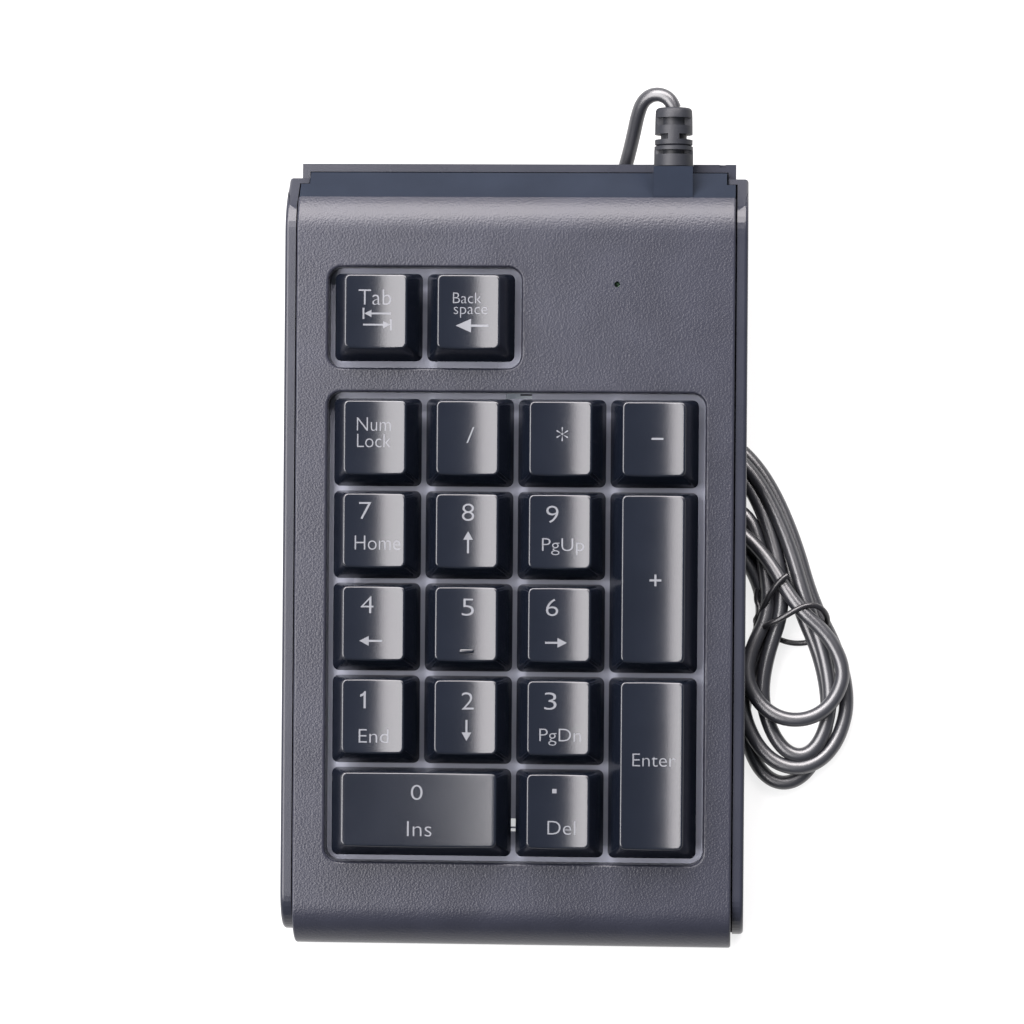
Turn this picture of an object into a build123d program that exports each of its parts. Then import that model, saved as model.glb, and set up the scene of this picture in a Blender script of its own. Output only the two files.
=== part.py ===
"""Wired numeric keypad: a two-part case, nineteen sprung keys, electronics, flip feet and cord.

The housing is laid out in its own body frame: x across, y from the front edge to the rear, z up
from the underside. BODY places that frame on the desk, tilted by the two flip feet. Cord, hank and
plug lie on the desk and are given in the row frame. All sizes are in millimetres.
"""

import os
from math import atan2, cos, radians, sin, tan

from build123d import *

os.makedirs("parts", exist_ok=True)

# Stance on the desk
TILT = 4.5
PAD_Y = 10.0
PAD_H = 1.2

# Housing
FRONT = -1.2
WIDTH = 95.8
COVER_W = 90.6
WALL = 2.3
SKIN = 1.8
SKIRT = 1.6
DECK_Z = 14.2
RAIL_Z = 13.2
NOSE_R = 9.0
COVER_END = 154.0
RAIL_FRONT = 1.6
RAIL_CREASE = 152.3
RAIL_END = 158.4
BODY_END = 161.5
LIP_T = 1.65
LIP_Z = 3.6
LIP_HALF = 45.3
ROLL_START = 146.3
FLOOR = 2.0

# Key field
PITCH = 19.05
FIELD_X = 0.4
ROW_0 = 26.9
ROW_TOP = 128.9
KEY_BASE_Z = 13.2
KEY_TOP_Z = 21.2
CAP = 18.1
CAP_TOP_W = 12.8
CAP_TOP_L = 15.0
CAP_SHIFT = 0.95
CAP_WALL = 1.3
CEILING_Z = 19.0
DISH = 0.6
STEM = 5.2
GUIDE = 5.4
WELL_R = 2.8
MAIN_WELL = (FIELD_X, 65.0, 78.0, 97.0)
TOP_WELL = (FIELD_X - PITCH, 128.9, 39.9, 20.8)

# Layers under the keys
MAT_Z = 2.4
DOME_FOOT_Z = 2.9
DOME_TOP_Z = 6.4
BED_Z0 = 7.4
BED_Z1 = 9.0

# Key stabiliser wires
WIRE_R = 0.6
WIRE_Z = 12.0
WIRE_BACK = 5.2
WIRE_ARM = 8.0
WIRE_RISE = 12.5
WIRE_SPAN = 12.0
CLIP_POST = 8.0

# Electronics
BOARD = (5.5, 42.0, 122.0, 139.6)
BOARD_Z0 = 5.0
BOARD_Z1 = 6.2
BOARD_POSTS = ((7.2, 124.8), (20.6, 124.8), (9.5, 137.0), (39.5, 137.0))
LED_X = 21.0
LED_Y = 135.9

# Cord outlet
OUTLET_X = 32.3
OUTLET_Z = 6.4
TAB_HALF = 4.05
RELIEF_END = 172.9
TAB_BACK = 160.6
CORD_R = 1.5

# Flip feet
FOOT_X = 29.0
FOOT_HALF = 7.0
FOOT_T = 2.6
PIVOT_Y = 143.3
PIVOT_Z = 1.7
PIN_R = 1.1
FOOT_LEAN = 10.3

# Case screws: x, y
SCREWS = ((-30.0, 9.5), (30.0, 9.5), (22.0, 118.6), (-40.8, 147.0), (40.8, 147.0))
BOSS_TOP = 7.0

slope = radians(TILT)
nose_y = (NOSE_R + FRONT) * cos(slope) - (DECK_Z - NOSE_R) * sin(slope) - NOSE_R
tail_y = BODY_END * cos(slope)
body_y0 = -(nose_y + tail_y) / 2
body_z0 = PAD_H * cos(slope) - PAD_Y * sin(slope)
BODY = Plane(origin=(0, body_y0, body_z0), x_dir=(1, 0, 0), z_dir=(0, -sin(slope), cos(slope)))
DESK = Plane.XY


def level(z):
    """Plane parallel to the deck at body height z."""
    return BODY.offset(z)


def side(x):
    """Plane across the body at x: its first axis runs to the rear and its second up."""
    return Plane(origin=BODY.from_local_coords((x, 0, 0)), x_dir=BODY.y_dir, z_dir=BODY.x_dir)


def block(x0, x1, y0, y1, z0, z1, mode=Mode.ADD):
    """Box between body coordinates, in the current part."""
    with Locations(((x0 + x1) / 2, (y0 + y1) / 2, z0)):
        Box(x1 - x0, y1 - y0, z1 - z0, align=(Align.CENTER, Align.CENTER, Align.MIN), mode=mode)


def post(x, y, z0, z1, radius, mode=Mode.ADD):
    """Upright cylinder between two body heights, in the current part."""
    with Locations((x, y, z0)):
        Cylinder(radius, z1 - z0, align=(Align.CENTER, Align.CENTER, Align.MIN), mode=mode)


def rod_y(x, z, y0, y1, radius, mode=Mode.ADD):
    """Cylinder along the body's length, in the current part."""
    with Locations(Location((x, y0, z), (-90, 0, 0))):
        Cylinder(radius, y1 - y0, align=(Align.CENTER, Align.CENTER, Align.MIN), mode=mode)


def rod_x(y, z, x0, x1, radius, mode=Mode.ADD):
    """Cylinder across the body, in the current part."""
    with Locations(Location((x0, y, z), (0, 90, 0))):
        Cylinder(radius, x1 - x0, align=(Align.CENTER, Align.CENTER, Align.MIN), mode=mode)


def body_z(edge):
    """Height of an edge's middle above the body's underside."""
    return BODY.to_local_coords(edge.center()).Z


def save(part, name):
    """Label a finished piece and write its file."""
    part.label = name
    export_step(part, f"parts/{name}.step")


def roll_end(start_y, top_z, radius, end_y):
    """Where a roll-off arc of this radius, tangent to a flat top, reaches end_y, and its middle point."""
    turn = (end_y - start_y) / radius
    angle = atan2(turn, (1 - turn**2) ** 0.5)
    middle = (start_y + radius * sin(angle / 2), top_z - radius * (1 - cos(angle / 2)))
    return middle, (end_y, top_z - radius * (1 - cos(angle)))


def column(index):
    """x of a key column, from 1 at the left to 4."""
    return FIELD_X + (index - 2.5) * PITCH


def row(index):
    """y of a key row, from 0 at the front to 4."""
    return ROW_0 + index * PITCH


# Keys by name: centre of the cap's base, x and y
SINGLE = {
    "key_tab": (column(1), ROW_TOP),
    "key_backspace": (column(2), ROW_TOP),
    "key_num_lock": (column(1), row(4)),
    "key_divide": (column(2), row(4)),
    "key_multiply": (column(3), row(4)),
    "key_minus": (column(4), row(4)),
    "key_7": (column(1), row(3)),
    "key_8": (column(2), row(3)),
    "key_9": (column(3), row(3)),
    "key_4": (column(1), row(2)),
    "key_5": (column(2), row(2)),
    "key_6": (column(3), row(2)),
    "key_1": (column(1), row(1)),
    "key_2": (column(2), row(1)),
    "key_3": (column(3), row(1)),
    "key_decimal": (column(3), row(0)),
}
TALL = {
    "key_plus": (column(4), (row(2) + row(3)) / 2),
    "key_enter": (column(4), (row(0) + row(1)) / 2),
}
WIDE = {"key_0": ((column(1) + column(2)) / 2, row(0))}
STEMS = [*SINGLE.values(), *TALL.values(), *WIDE.values()]

# Base shell: floor, side rails, rear lip, bosses and the recesses of the flip feet
rail_mid, rail_low = roll_end(ROLL_START, RAIL_Z, 11.0, RAIL_CREASE)
with BuildPart(BODY) as base_shell:
    with BuildSketch(side(0)):
        with BuildLine():
            Line((RAIL_FRONT, 0), (RAIL_FRONT, RAIL_Z - 8.6))
            RadiusArc((RAIL_FRONT, RAIL_Z - 8.6), (RAIL_FRONT + 8.6, RAIL_Z), 8.6)
            Line((RAIL_FRONT + 8.6, RAIL_Z), (ROLL_START, RAIL_Z))
            ThreePointArc((ROLL_START, RAIL_Z), rail_mid, rail_low)
            Polyline(rail_low, (RAIL_END, 4.4), (RAIL_END, 0), (RAIL_FRONT, 0))
        make_face()
    extrude(amount=WIDTH / 2, both=True)
    fillet(base_shell.edges().filter_by(lambda e: abs(abs(e.center().X) - WIDTH / 2) < 0.01), 0.8)
    block(-LIP_HALF, LIP_HALF, 150, BODY_END, 0, LIP_Z)
    block(-WIDTH / 2 + WALL, WIDTH / 2 - WALL, 4.2, 157.2, FLOOR, 20, Mode.SUBTRACT)
    block(-WIDTH / 2 + WALL, WIDTH / 2 - WALL, 0, 5, 6.0, 20, Mode.SUBTRACT)
    block(-WIDTH / 2 + WALL, -42.8, 0, 5, FLOOR, 20, Mode.SUBTRACT)
    block(42.8, WIDTH / 2 - WALL, 0, 5, FLOOR, 20, Mode.SUBTRACT)
    block(-43.7, 43.7, 157, BODY_END - LIP_T, FLOOR, 20, Mode.SUBTRACT)
    block(OUTLET_X - TAB_HALF - 0.05, OUTLET_X + TAB_HALF + 0.05, 159, 162, FLOOR, 5, Mode.SUBTRACT)
    block(41.9, 43.1, 160.9, 162, 2.6, 5, Mode.SUBTRACT)
    for sx, sy in SCREWS:
        post(sx, sy, 0, BOSS_TOP, 3.0)
        post(sx, sy, 0, 4.0, 2.6, Mode.SUBTRACT)
        post(sx, sy, 0, BOSS_TOP, 1.45, Mode.SUBTRACT)
    for px, py in BOARD_POSTS:
        post(px, py, 1.5, BOARD_Z0, 1.9)
        post(px, py, 2.5, BOARD_Z0, 0.8, Mode.SUBTRACT)
    for hand in (-1, 1):
        inner = hand * FOOT_X - FOOT_HALF - 0.3
        outer = hand * FOOT_X + FOOT_HALF + 0.3
        block(inner - 1.2, outer + 1.2, 140.0, 157.9, 0, 4.2)
        block(inner, outer, 141.0, 157.1, 0, 3.3, Mode.SUBTRACT)
        rod_x(PIVOT_Y, PIVOT_Z, inner - 1.2, outer + 1.2, PIN_R + 0.06, Mode.SUBTRACT)
    block(-20, 20, 60, 90, 0, 0.2, Mode.SUBTRACT)
save(base_shell.part, "base_shell")

with BuildPart(BODY) as rating_label:
    with BuildSketch(level(0.02)):
        with Locations((0, 75)):
            RectangleRounded(39.4, 29.4, 1.5)
    extrude(amount=0.18)
save(rating_label.part, "rating_label")

# Top cover: a shell with rolled ends, side skirts, two key wells, screw posts and the indicator hole
cover_mid, cover_low = roll_end(ROLL_START, DECK_Z, 12.0, COVER_END)
inside_mid, inside_low = roll_end(ROLL_START, DECK_Z - SKIN, 12.0 - SKIN, COVER_END - SKIN)
with BuildPart(BODY) as top_cover:
    with BuildSketch(side(0)):
        with BuildLine():
            Line((FRONT, 2.5), (FRONT, DECK_Z - NOSE_R))
            RadiusArc((FRONT, DECK_Z - NOSE_R), (FRONT + NOSE_R, DECK_Z), NOSE_R)
            Line((FRONT + NOSE_R, DECK_Z), (ROLL_START, DECK_Z))
            ThreePointArc((ROLL_START, DECK_Z), cover_mid, cover_low)
            Polyline(cover_low, (COVER_END, 8), (12, 8), (6, 2.5), (FRONT, 2.5))
        make_face()
    extrude(amount=COVER_W / 2, both=True)
    top_rims = top_cover.edges().filter_by(lambda e: abs(abs(e.center().X) - COVER_W / 2) < 0.01)
    fillet(top_rims.filter_by(lambda e: body_z(e) > 8.5), 0.5)
    with BuildSketch(side(0)):
        with BuildLine():
            Line((FRONT + SKIN, 0), (FRONT + SKIN, DECK_Z - NOSE_R))
            RadiusArc((FRONT + SKIN, DECK_Z - NOSE_R), (FRONT + NOSE_R, DECK_Z - SKIN), NOSE_R - SKIN)
            Line((FRONT + NOSE_R, DECK_Z - SKIN), (ROLL_START, DECK_Z - SKIN))
            ThreePointArc((ROLL_START, DECK_Z - SKIN), inside_mid, inside_low)
            Polyline(inside_low, (COVER_END - SKIN, 0), (FRONT + SKIN, 0))
        make_face()
    extrude(amount=COVER_W / 2 - SKIRT, both=True, mode=Mode.SUBTRACT)
    for wx, wy, ww, wl in (MAIN_WELL, TOP_WELL):
        with BuildSketch(level(BED_Z1)):
            with Locations((wx, wy)):
                RectangleRounded(ww + 2.8, wl + 2.8, WELL_R + 1.4)
        extrude(amount=DECK_Z - 1 - BED_Z1)
    for wx, wy, ww, wl in (MAIN_WELL, TOP_WELL):
        with BuildSketch(level(BED_Z1)):
            with Locations((wx, wy)):
                RectangleRounded(ww, wl, WELL_R)
        extrude(amount=DECK_Z, mode=Mode.SUBTRACT)
    deck_edges = top_cover.edges().filter_by(lambda e: abs(body_z(e) - DECK_Z) < 0.01)
    deck_edges = deck_edges.filter_by(lambda e: abs(e.center().X) < 40)
    fillet(deck_edges.filter_by(lambda e: 14 < BODY.to_local_coords(e.center()).Y < 142), 0.6)
    for sx, sy in SCREWS:
        post(sx, sy, BOSS_TOP, DECK_Z - 1.5, 2.4)
        post(sx, sy, BOSS_TOP, 12.0, 1.3, Mode.SUBTRACT)
    post(LED_X, LED_Y, 10, 20, 0.6, Mode.SUBTRACT)
save(top_cover.part, "top_cover")

# Rear panel: a sloping closure with the tab that holds the cord outlet
with BuildPart(BODY) as rear_panel:
    with BuildSketch(side(0)):
        with BuildLine():
            Polyline((COVER_END, 10.4), (159.6, 4.7), (159.6, 3.0), (COVER_END, 8.7), close=True)
        make_face()
    extrude(amount=45.2, both=True)
    block(-46, -43.4, 157, 160, 0, 12, Mode.SUBTRACT)
    block(43.4, 46, 157, 160, 0, 12, Mode.SUBTRACT)
    block(OUTLET_X - TAB_HALF, OUTLET_X + TAB_HALF, COVER_END, TAB_BACK, 2.2, 10.4)
    fillet(rear_panel.edges().filter_by(Axis.X).group_by(SortBy.DISTANCE)[0], 0.2)
    block(OUTLET_X - 2.8, OUTLET_X + 2.8, 150, 160, 3.4, 9.4, Mode.SUBTRACT)
    block(OUTLET_X - 5, OUTLET_X + 5, 150, 158.1, 0, 4.6, Mode.SUBTRACT)
    rod_y(OUTLET_X, OUTLET_Z, 159, 163, 2.2, Mode.SUBTRACT)
save(rear_panel.part, "rear_panel")

# Key bed: a plate with a guide sleeve for every key, wire clips for the long keys and a rim on the floor
with BuildPart(BODY) as key_bed:
    block(-40.4, 40.4, 15, 115, BED_Z0, BED_Z1)
    block(-40.4, 2.4, 114, 139.8, BED_Z0, BED_Z1)
    block(-40.4, 40.4, 15, 115, FLOOR, BED_Z0)
    block(-40.4, 2.4, 114, 139.8, FLOOR, BED_Z0)
    block(-39.0, 39.0, 16.4, 113.6, 0, BED_Z0, Mode.SUBTRACT)
    block(-39.0, 1.0, 110, 138.4, 0, BED_Z0, Mode.SUBTRACT)
    block(7.5, 18.5, 110, 116, 0, BED_Z0, Mode.SUBTRACT)
    for gap_x in (column(1.5), 0, column(3.5)):
        for gap_y in (row(0.5), row(1.5), row(2.5), row(3.5)):
            post(gap_x, gap_y, DOME_FOOT_Z, BED_Z0, 1.5)
    for kx, ky in STEMS:
        block(kx - 3.7, kx + 3.7, ky - 3.7, ky + 3.7, BED_Z0, 12.4)
        block(kx - GUIDE / 2, kx + GUIDE / 2, ky - GUIDE / 2, ky + GUIDE / 2, 5, 15, Mode.SUBTRACT)
    for kx, ky in TALL.values():
        for end in (-1, 1):
            clip_y = ky + end * CLIP_POST
            block(kx + WIRE_BACK - 1.3, kx + WIRE_BACK + 1.3, clip_y - 1, clip_y + 1, BED_Z0, 13.0)
            rod_y(kx + WIRE_BACK, WIRE_Z, clip_y - 2, clip_y + 2, WIRE_R + 0.06, Mode.SUBTRACT)
    for kx, ky in WIDE.values():
        for end in (-1, 1):
            clip_x = kx + end * CLIP_POST
            block(clip_x - 1, clip_x + 1, ky - WIRE_BACK - 1.3, ky - WIRE_BACK + 1.3, BED_Z0, 13.0)
            rod_x(ky - WIRE_BACK, WIRE_Z, clip_x - 2, clip_x + 2, WIRE_R + 0.06, Mode.SUBTRACT)
    block(-0.8, 0.8, 22.6, 23.3, 5, 12, Mode.SUBTRACT)
    block(-0.8, 0.8, 23.6, 25.35, 5, 12, Mode.SUBTRACT)
    block(-2.0, 3.4, 112.4, 113.4, 5, 12, Mode.SUBTRACT)
save(key_bed.part, "key_bed")

# Contact membrane on the floor, with the tail that climbs to the controller board
with BuildPart(BODY) as membrane_sheet:
    block(-38.6, 38.6, 17, 113.2, FLOOR, MAT_Z)
    block(-38.6, 0.6, 113, 138.2, FLOOR, MAT_Z)
    with BuildSketch(side(13)):
        with BuildLine():
            Polyline((113, FLOOR), (117.6, FLOOR), (121.8, 6.2), (126.4, 6.2), (126.4, 6.5), (121.65, 6.5))
            Polyline((121.65, 6.5), (117.4, 2.4), (113, 2.4), (113, FLOOR))
        make_face()
    extrude(amount=4.5, both=True)
save(membrane_sheet.part, "membrane_sheet")

# Dome sheet: one silicone mat with a hollow dome under every key
with BuildPart(BODY) as dome_sheet:
    block(-38.4, 38.4, 17.2, 112.9, MAT_Z, DOME_FOOT_Z)
    block(-38.4, 0.4, 112, 138.0, MAT_Z, DOME_FOOT_Z)
    block(-2.8, 4.2, 111.4, 114.4, MAT_Z, DOME_FOOT_Z, Mode.SUBTRACT)
    dome_h = DOME_TOP_Z - DOME_FOOT_Z
    for kx, ky in STEMS:
        with Locations((kx, ky, DOME_FOOT_Z)):
            Cone(4.6, 2.5, dome_h, align=(Align.CENTER, Align.CENTER, Align.MIN))
    for kx, ky in STEMS:
        with Locations((kx, ky, MAT_Z)):
            Cone(4.3, 1.9, dome_h - 0.3, align=(Align.CENTER, Align.CENTER, Align.MIN), mode=Mode.SUBTRACT)
save(dome_sheet.part, "dome_sheet")

# Electronics
with BuildPart(BODY) as controller_board:
    block(*BOARD, BOARD_Z0, BOARD_Z1)
    for px, py in BOARD_POSTS:
        post(px, py, 4, 8, 1.0, Mode.SUBTRACT)
save(controller_board.part, "controller_board")

with BuildPart(BODY) as controller_chip:
    block(27.0, 34.0, 126.5, 133.5, BOARD_Z1 + 0.1, 7.5)
    for pin in range(8):
        for edge in (26.1, 34.0):
            block(edge, edge + 0.9, 126.9 + pin * 0.85, 127.3 + pin * 0.85, BOARD_Z1, BOARD_Z1 + 0.5)
save(controller_chip.part, "controller_chip")

with BuildPart(BODY) as status_led:
    post(LED_X, LED_Y, BOARD_Z1, 7.2, 1.9)
    post(LED_X, LED_Y, 7.2, 11.8, 1.5)
    fillet(status_led.edges().sort_by(Axis.Z)[-1], 1.2)
save(status_led.part, "status_led")

with BuildPart(BODY) as cable_connector:
    block(26.4, 35.6, 134.6, 139.4, BOARD_Z1, 9.9)
    for pin in range(4):
        block(28.0 + pin * 1.5, 29.2 + pin * 1.5, 138.6, 140, 7.4, 8.7, Mode.SUBTRACT)
save(cable_connector.part, "cable_connector")

with BuildPart(BODY) as pressure_bar:
    block(5.6, 22.4, 122.9, 126.7, 6.5, 8.3)
    for px, py in BOARD_POSTS[:2]:
        post(px, py, 6, 9, 1.0, Mode.SUBTRACT)
save(pressure_bar.part, "pressure_bar")

with BuildPart(BODY) as board_screws:
    for (px, py), under_head in zip(BOARD_POSTS, (8.3, 8.3, BOARD_Z1, BOARD_Z1)):
        post(px, py, 3.0, under_head, 0.78)
        post(px, py, under_head, under_head + 1.3, 1.7)
        block(px - 1.2, px + 1.2, py - 0.2, py + 0.2, under_head + 0.7, under_head + 2, Mode.SUBTRACT)
save(board_screws.part, "board_screws")

# Four insulated leads from the connector to the inner end of the strain relief
with BuildPart(BODY) as inner_leads:
    for lead in range(4):
        start = BODY.from_local_coords((28.6 + lead * 1.5, 138.6, 8.05))
        middle = BODY.from_local_coords((29.6 + lead * 1.3, 147.0, 7.4))
        finish = BODY.from_local_coords((OUTLET_X + (lead - 1.5) * 0.96, 158.4, OUTLET_Z))
        with BuildLine() as lead_path:
            FilletPolyline(start, middle, finish, radius=10)
        with BuildSketch(Plane(origin=lead_path.line @ 0, z_dir=lead_path.line % 0)):
            Circle(0.44)
        sweep(path=lead_path.line)
save(inner_leads.part, "inner_leads")

# Case screws, driven up from the underside
with BuildPart(BODY) as case_screws:
    for sx, sy in SCREWS:
        post(sx, sy, 2.2, 4.0, 2.4)
        post(sx, sy, 4.0, 11.6, 1.3)
        block(sx - 1.6, sx + 1.6, sy - 0.3, sy + 0.3, 2.0, 3.2, Mode.SUBTRACT)
        block(sx - 0.3, sx + 0.3, sy - 1.6, sy + 1.6, 2.0, 3.2, Mode.SUBTRACT)
save(case_screws.part, "case_screws")

# Rubber pads under the front, cut level with the desk
with BuildPart(BODY) as front_pads:
    for pad_x in (-40.0, 40.0):
        post(pad_x, PAD_Y, -3, 0, 4.0)
    split(bisect_by=DESK, keep=Keep.TOP)
save(front_pads.part, "front_pads")


def foot_outline():
    """Side outline of a flip foot, from its barrel down past the desk, leaning forward."""
    with Locations(Location((PIVOT_Y, PIVOT_Z), -FOOT_LEAN)):
        Circle(FOOT_T / 2)
        Rectangle(FOOT_T, 20, align=(Align.CENTER, Align.MAX))


# Flip feet and their rubber tips
TIP_H = 1.0
for hand, word in ((-1, "left"), (1, "right")):
    with BuildPart(BODY) as flip_foot:
        with BuildSketch(side(hand * FOOT_X)):
            foot_outline()
        extrude(amount=FOOT_HALF, both=True)
        rod_x(PIVOT_Y, PIVOT_Z, hand * FOOT_X - FOOT_HALF - 1.3, hand * FOOT_X + FOOT_HALF + 1.3, PIN_R)
        split(bisect_by=DESK.offset(TIP_H), keep=Keep.TOP)
    save(flip_foot.part, f"flip_foot_{word}")

    with BuildPart(BODY) as foot_tip:
        with BuildSketch(side(hand * FOOT_X)):
            foot_outline()
        extrude(amount=FOOT_HALF, both=True)
        split(bisect_by=DESK.offset(TIP_H), keep=Keep.BOTTOM)
        split(bisect_by=DESK, keep=Keep.TOP)
    save(foot_tip.part, f"foot_tip_{word}")


def cap_body(x, y, width, length, top_w, top_l):
    """Hollow dished keycap shell, in the current part."""
    with BuildSketch(level(KEY_BASE_Z)) as skirt:
        with Locations((x, y)):
            RectangleRounded(width, length, 1.3)
    with BuildSketch(level(KEY_TOP_Z)) as crown:
        with Locations((x, y + CAP_SHIFT)):
            RectangleRounded(top_w, top_l, 1.0)
    loft([skirt.sketch.face(), crown.sketch.face()])
    part = BuildPart._get_context()
    fillet(part.edges().filter_by(lambda e: body_z(e) > KEY_TOP_Z - 0.01), 0.4)
    dish_r = top_w**2 / (8 * DISH)
    rod_y(x, KEY_TOP_Z + dish_r - DISH, y - length, y + length, dish_r, Mode.SUBTRACT)
    with BuildSketch(level(KEY_BASE_Z)) as mouth:
        with Locations((x, y)):
            Rectangle(width - 2 * CAP_WALL, length - 2 * CAP_WALL)
    with BuildSketch(level(CEILING_Z)) as ceiling:
        with Locations((x, y + CAP_SHIFT)):
            Rectangle(top_w - 1.6, top_l - 1.6)
    loft([mouth.sketch.face(), ceiling.sketch.face()], mode=Mode.SUBTRACT)


def stem(x, y):
    """Square plunger with the two barbs that stop it under the bed, in the current part."""
    half = STEM / 2
    block(x - half, x + half, y - half, y + half, DOME_TOP_Z, CEILING_Z + 0.3)
    block(x - half - 0.7, x + half + 0.7, y - 1.2, y + 1.2, DOME_TOP_Z, BED_Z0 - 0.05)


for name, (kx, ky) in SINGLE.items():
    with BuildPart(BODY) as keycap:
        cap_body(kx, ky, CAP, CAP, CAP_TOP_W, CAP_TOP_L)
        stem(kx, ky)
        if name == "key_5":
            block(kx - 1.5, kx + 1.5, ky - 4.9, ky - 4.3, CEILING_Z + 0.5, KEY_TOP_Z - DISH + 0.4)
    save(keycap.part, name)

hook_z = WIRE_Z + WIRE_ARM * sin(radians(WIRE_RISE))
SLOT_Z = (hook_z - 0.8, hook_z + 0.8)
for name, (kx, ky) in TALL.items():
    with BuildPart(BODY) as keycap:
        cap_body(kx, ky, CAP, CAP + PITCH, CAP_TOP_W, CAP_TOP_L + PITCH)
        stem(kx, ky)
        hook_x = kx + WIRE_BACK - WIRE_ARM
        for end in (-1, 1):
            hook_y = ky + end * 9.6
            block(hook_x - 2.2, hook_x + 2.2, hook_y - 0.8, hook_y + 0.8, 12.6, CEILING_Z + 0.3)
            block(hook_x - 1.3, hook_x + 1.3, hook_y - 1, hook_y + 1, *SLOT_Z, Mode.SUBTRACT)
    save(keycap.part, name)

for name, (kx, ky) in WIDE.items():
    with BuildPart(BODY) as keycap:
        cap_body(kx, ky, CAP + PITCH, CAP, CAP_TOP_W + PITCH, CAP_TOP_L)
        stem(kx, ky)
        hook_y = ky - WIRE_BACK + WIRE_ARM
        for end in (-1, 1):
            hook_x = kx + end * 9.6
            block(hook_x - 0.8, hook_x + 0.8, hook_y - 2.2, hook_y + 2.2, 12.6, CEILING_Z + 0.3)
            block(hook_x - 1, hook_x + 1, hook_y - 1.3, hook_y + 1.3, *SLOT_Z, Mode.SUBTRACT)
    save(keycap.part, name)


def wire(name, centre, along, arm):
    """Stabiliser wire: a bar along one body direction with two arms that end in short inward hooks."""
    bend = 1.0
    reach = WIRE_ARM * cos(radians(WIRE_RISE))
    rise = WIRE_ARM * sin(radians(WIRE_RISE))
    bar = Vector(*centre, WIRE_Z) - Vector(*arm) * WIRE_BACK
    tip = bar + Vector(*arm) * reach + Vector(0, 0, rise)
    run = Vector(*along)
    hook = WIRE_SPAN - 3.4
    stops = [
        tip - run * hook,
        tip - run * WIRE_SPAN,
        bar - run * WIRE_SPAN,
        bar + run * WIRE_SPAN,
        tip + run * WIRE_SPAN,
        tip + run * hook,
    ]
    with BuildPart(BODY) as stabiliser:
        with BuildLine() as bent:
            FilletPolyline(*[BODY.from_local_coords(stop) for stop in stops], radius=bend)
        with BuildSketch(Plane(origin=bent.line @ 0, z_dir=bent.line % 0)):
            Circle(WIRE_R)
        sweep(path=bent.line)
    save(stabiliser.part, name)


wire("stabiliser_plus", TALL["key_plus"], (0, 1, 0), (-1, 0, 0))
wire("stabiliser_enter", TALL["key_enter"], (0, 1, 0), (-1, 0, 0))
wire("stabiliser_0", WIDE["key_0"], (1, 0, 0), (0, 1, 0))

# Strain relief: a moulded sleeve with slots across and beside its core, held in the tab by a flange
with BuildPart(BODY) as strain_relief:
    rod_y(OUTLET_X, OUTLET_Z, TAB_BACK, 165.0, 4.05)
    rod_y(OUTLET_X, OUTLET_Z, 165.3, RELIEF_END, 3.9)
    for slot_start, slot_end in ((163.2, 164.1), (169.2, 170.8)):
        block(OUTLET_X - 5, OUTLET_X + 5, slot_start, slot_end, OUTLET_Z + 1.6, 14, Mode.SUBTRACT)
        block(OUTLET_X - 5, OUTLET_X + 5, slot_start, slot_end, -2, OUTLET_Z - 1.6, Mode.SUBTRACT)
    block(OUTLET_X - 6, OUTLET_X - 1.2, 166.3, 167.4, -2, 14, Mode.SUBTRACT)
    block(OUTLET_X + 1.2, OUTLET_X + 6, 166.3, 167.4, -2, 14, Mode.SUBTRACT)
    rod_y(OUTLET_X, OUTLET_Z, TAB_BACK, RELIEF_END, 2.7)
    rod_y(OUTLET_X, OUTLET_Z, 159.9, TAB_BACK + 0.1, 2.12)
    rod_y(OUTLET_X, OUTLET_Z, 158.45, 159.95, 2.7)
save(strain_relief.part, "strain_relief")


def arc_radii(points):
    """Largest arcs that the runs of a cord's route allow, one for each corner."""
    radii = []
    for before, corner, after in zip(points, points[1:], points[2:]):
        turn = radians((corner - before).get_angle(after - corner))
        radii.append(0.48 * min((corner - before).length, (after - corner).length) / tan(turn / 2))
    return radii


def cord_tube(name, route):
    """Tube along a route of straight runs joined by tangent arcs."""
    points = [Vector(*p) for p in route]
    radii = arc_radii(points)
    with BuildPart() as tube:
        with BuildLine() as path:
            FilletPolyline(*points, radius=radii)
        with BuildSketch(Plane(origin=path.line @ 0, z_dir=path.line % 0)):
            Circle(CORD_R)
        sweep(path=path.line)
    length = sum(edge.length for edge in path.line.edges())
    print(name, "length", round(length, 1), "smallest bend", round(min(radii), 1))
    save(tube.part, name)


# Cord from the strain relief, back under the case and along the desk to the hank
outlet = BODY.from_local_coords((OUTLET_X, RELIEF_END, OUTLET_Z))
LEAD_IN = [
    (outlet.X, outlet.Y, outlet.Z),
    (31.95, 93.16, 20.45),
    (30.98, 94.43, 20.5),
    (29.24, 95.24, 20.3),
    (27.2, 95.03, 19.6),
    (25.57, 93.72, 18.4),
    (24.6, 91.2, 16.3),
    (23.8, 88.0, 13.4),
    (22.6, 83.8, 9.8),
    (21.0, 78.6, 7.4),
    (18.6, 72.8, 5.4),
    (16.6, 65.2, 3.2),
    (15.4, 54.2, 1.6),
    (17.0, 44.8, 1.6),
    (23.0, 38.4, 1.6),
    (29.4, 34.0, 1.6),
    (34.2, 28.4, 1.6),
]
LEAD_OUT = [
    (33.0, 12.6, 1.6),
    (29.8, 18.8, 1.6),
    (24.6, 23.6, 2.4),
    (17.0, 25.4, 3.5),
]
cord_tube("cord_lead_in", LEAD_IN)
cord_tube("cord_lead_out", LEAD_OUT)

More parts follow.
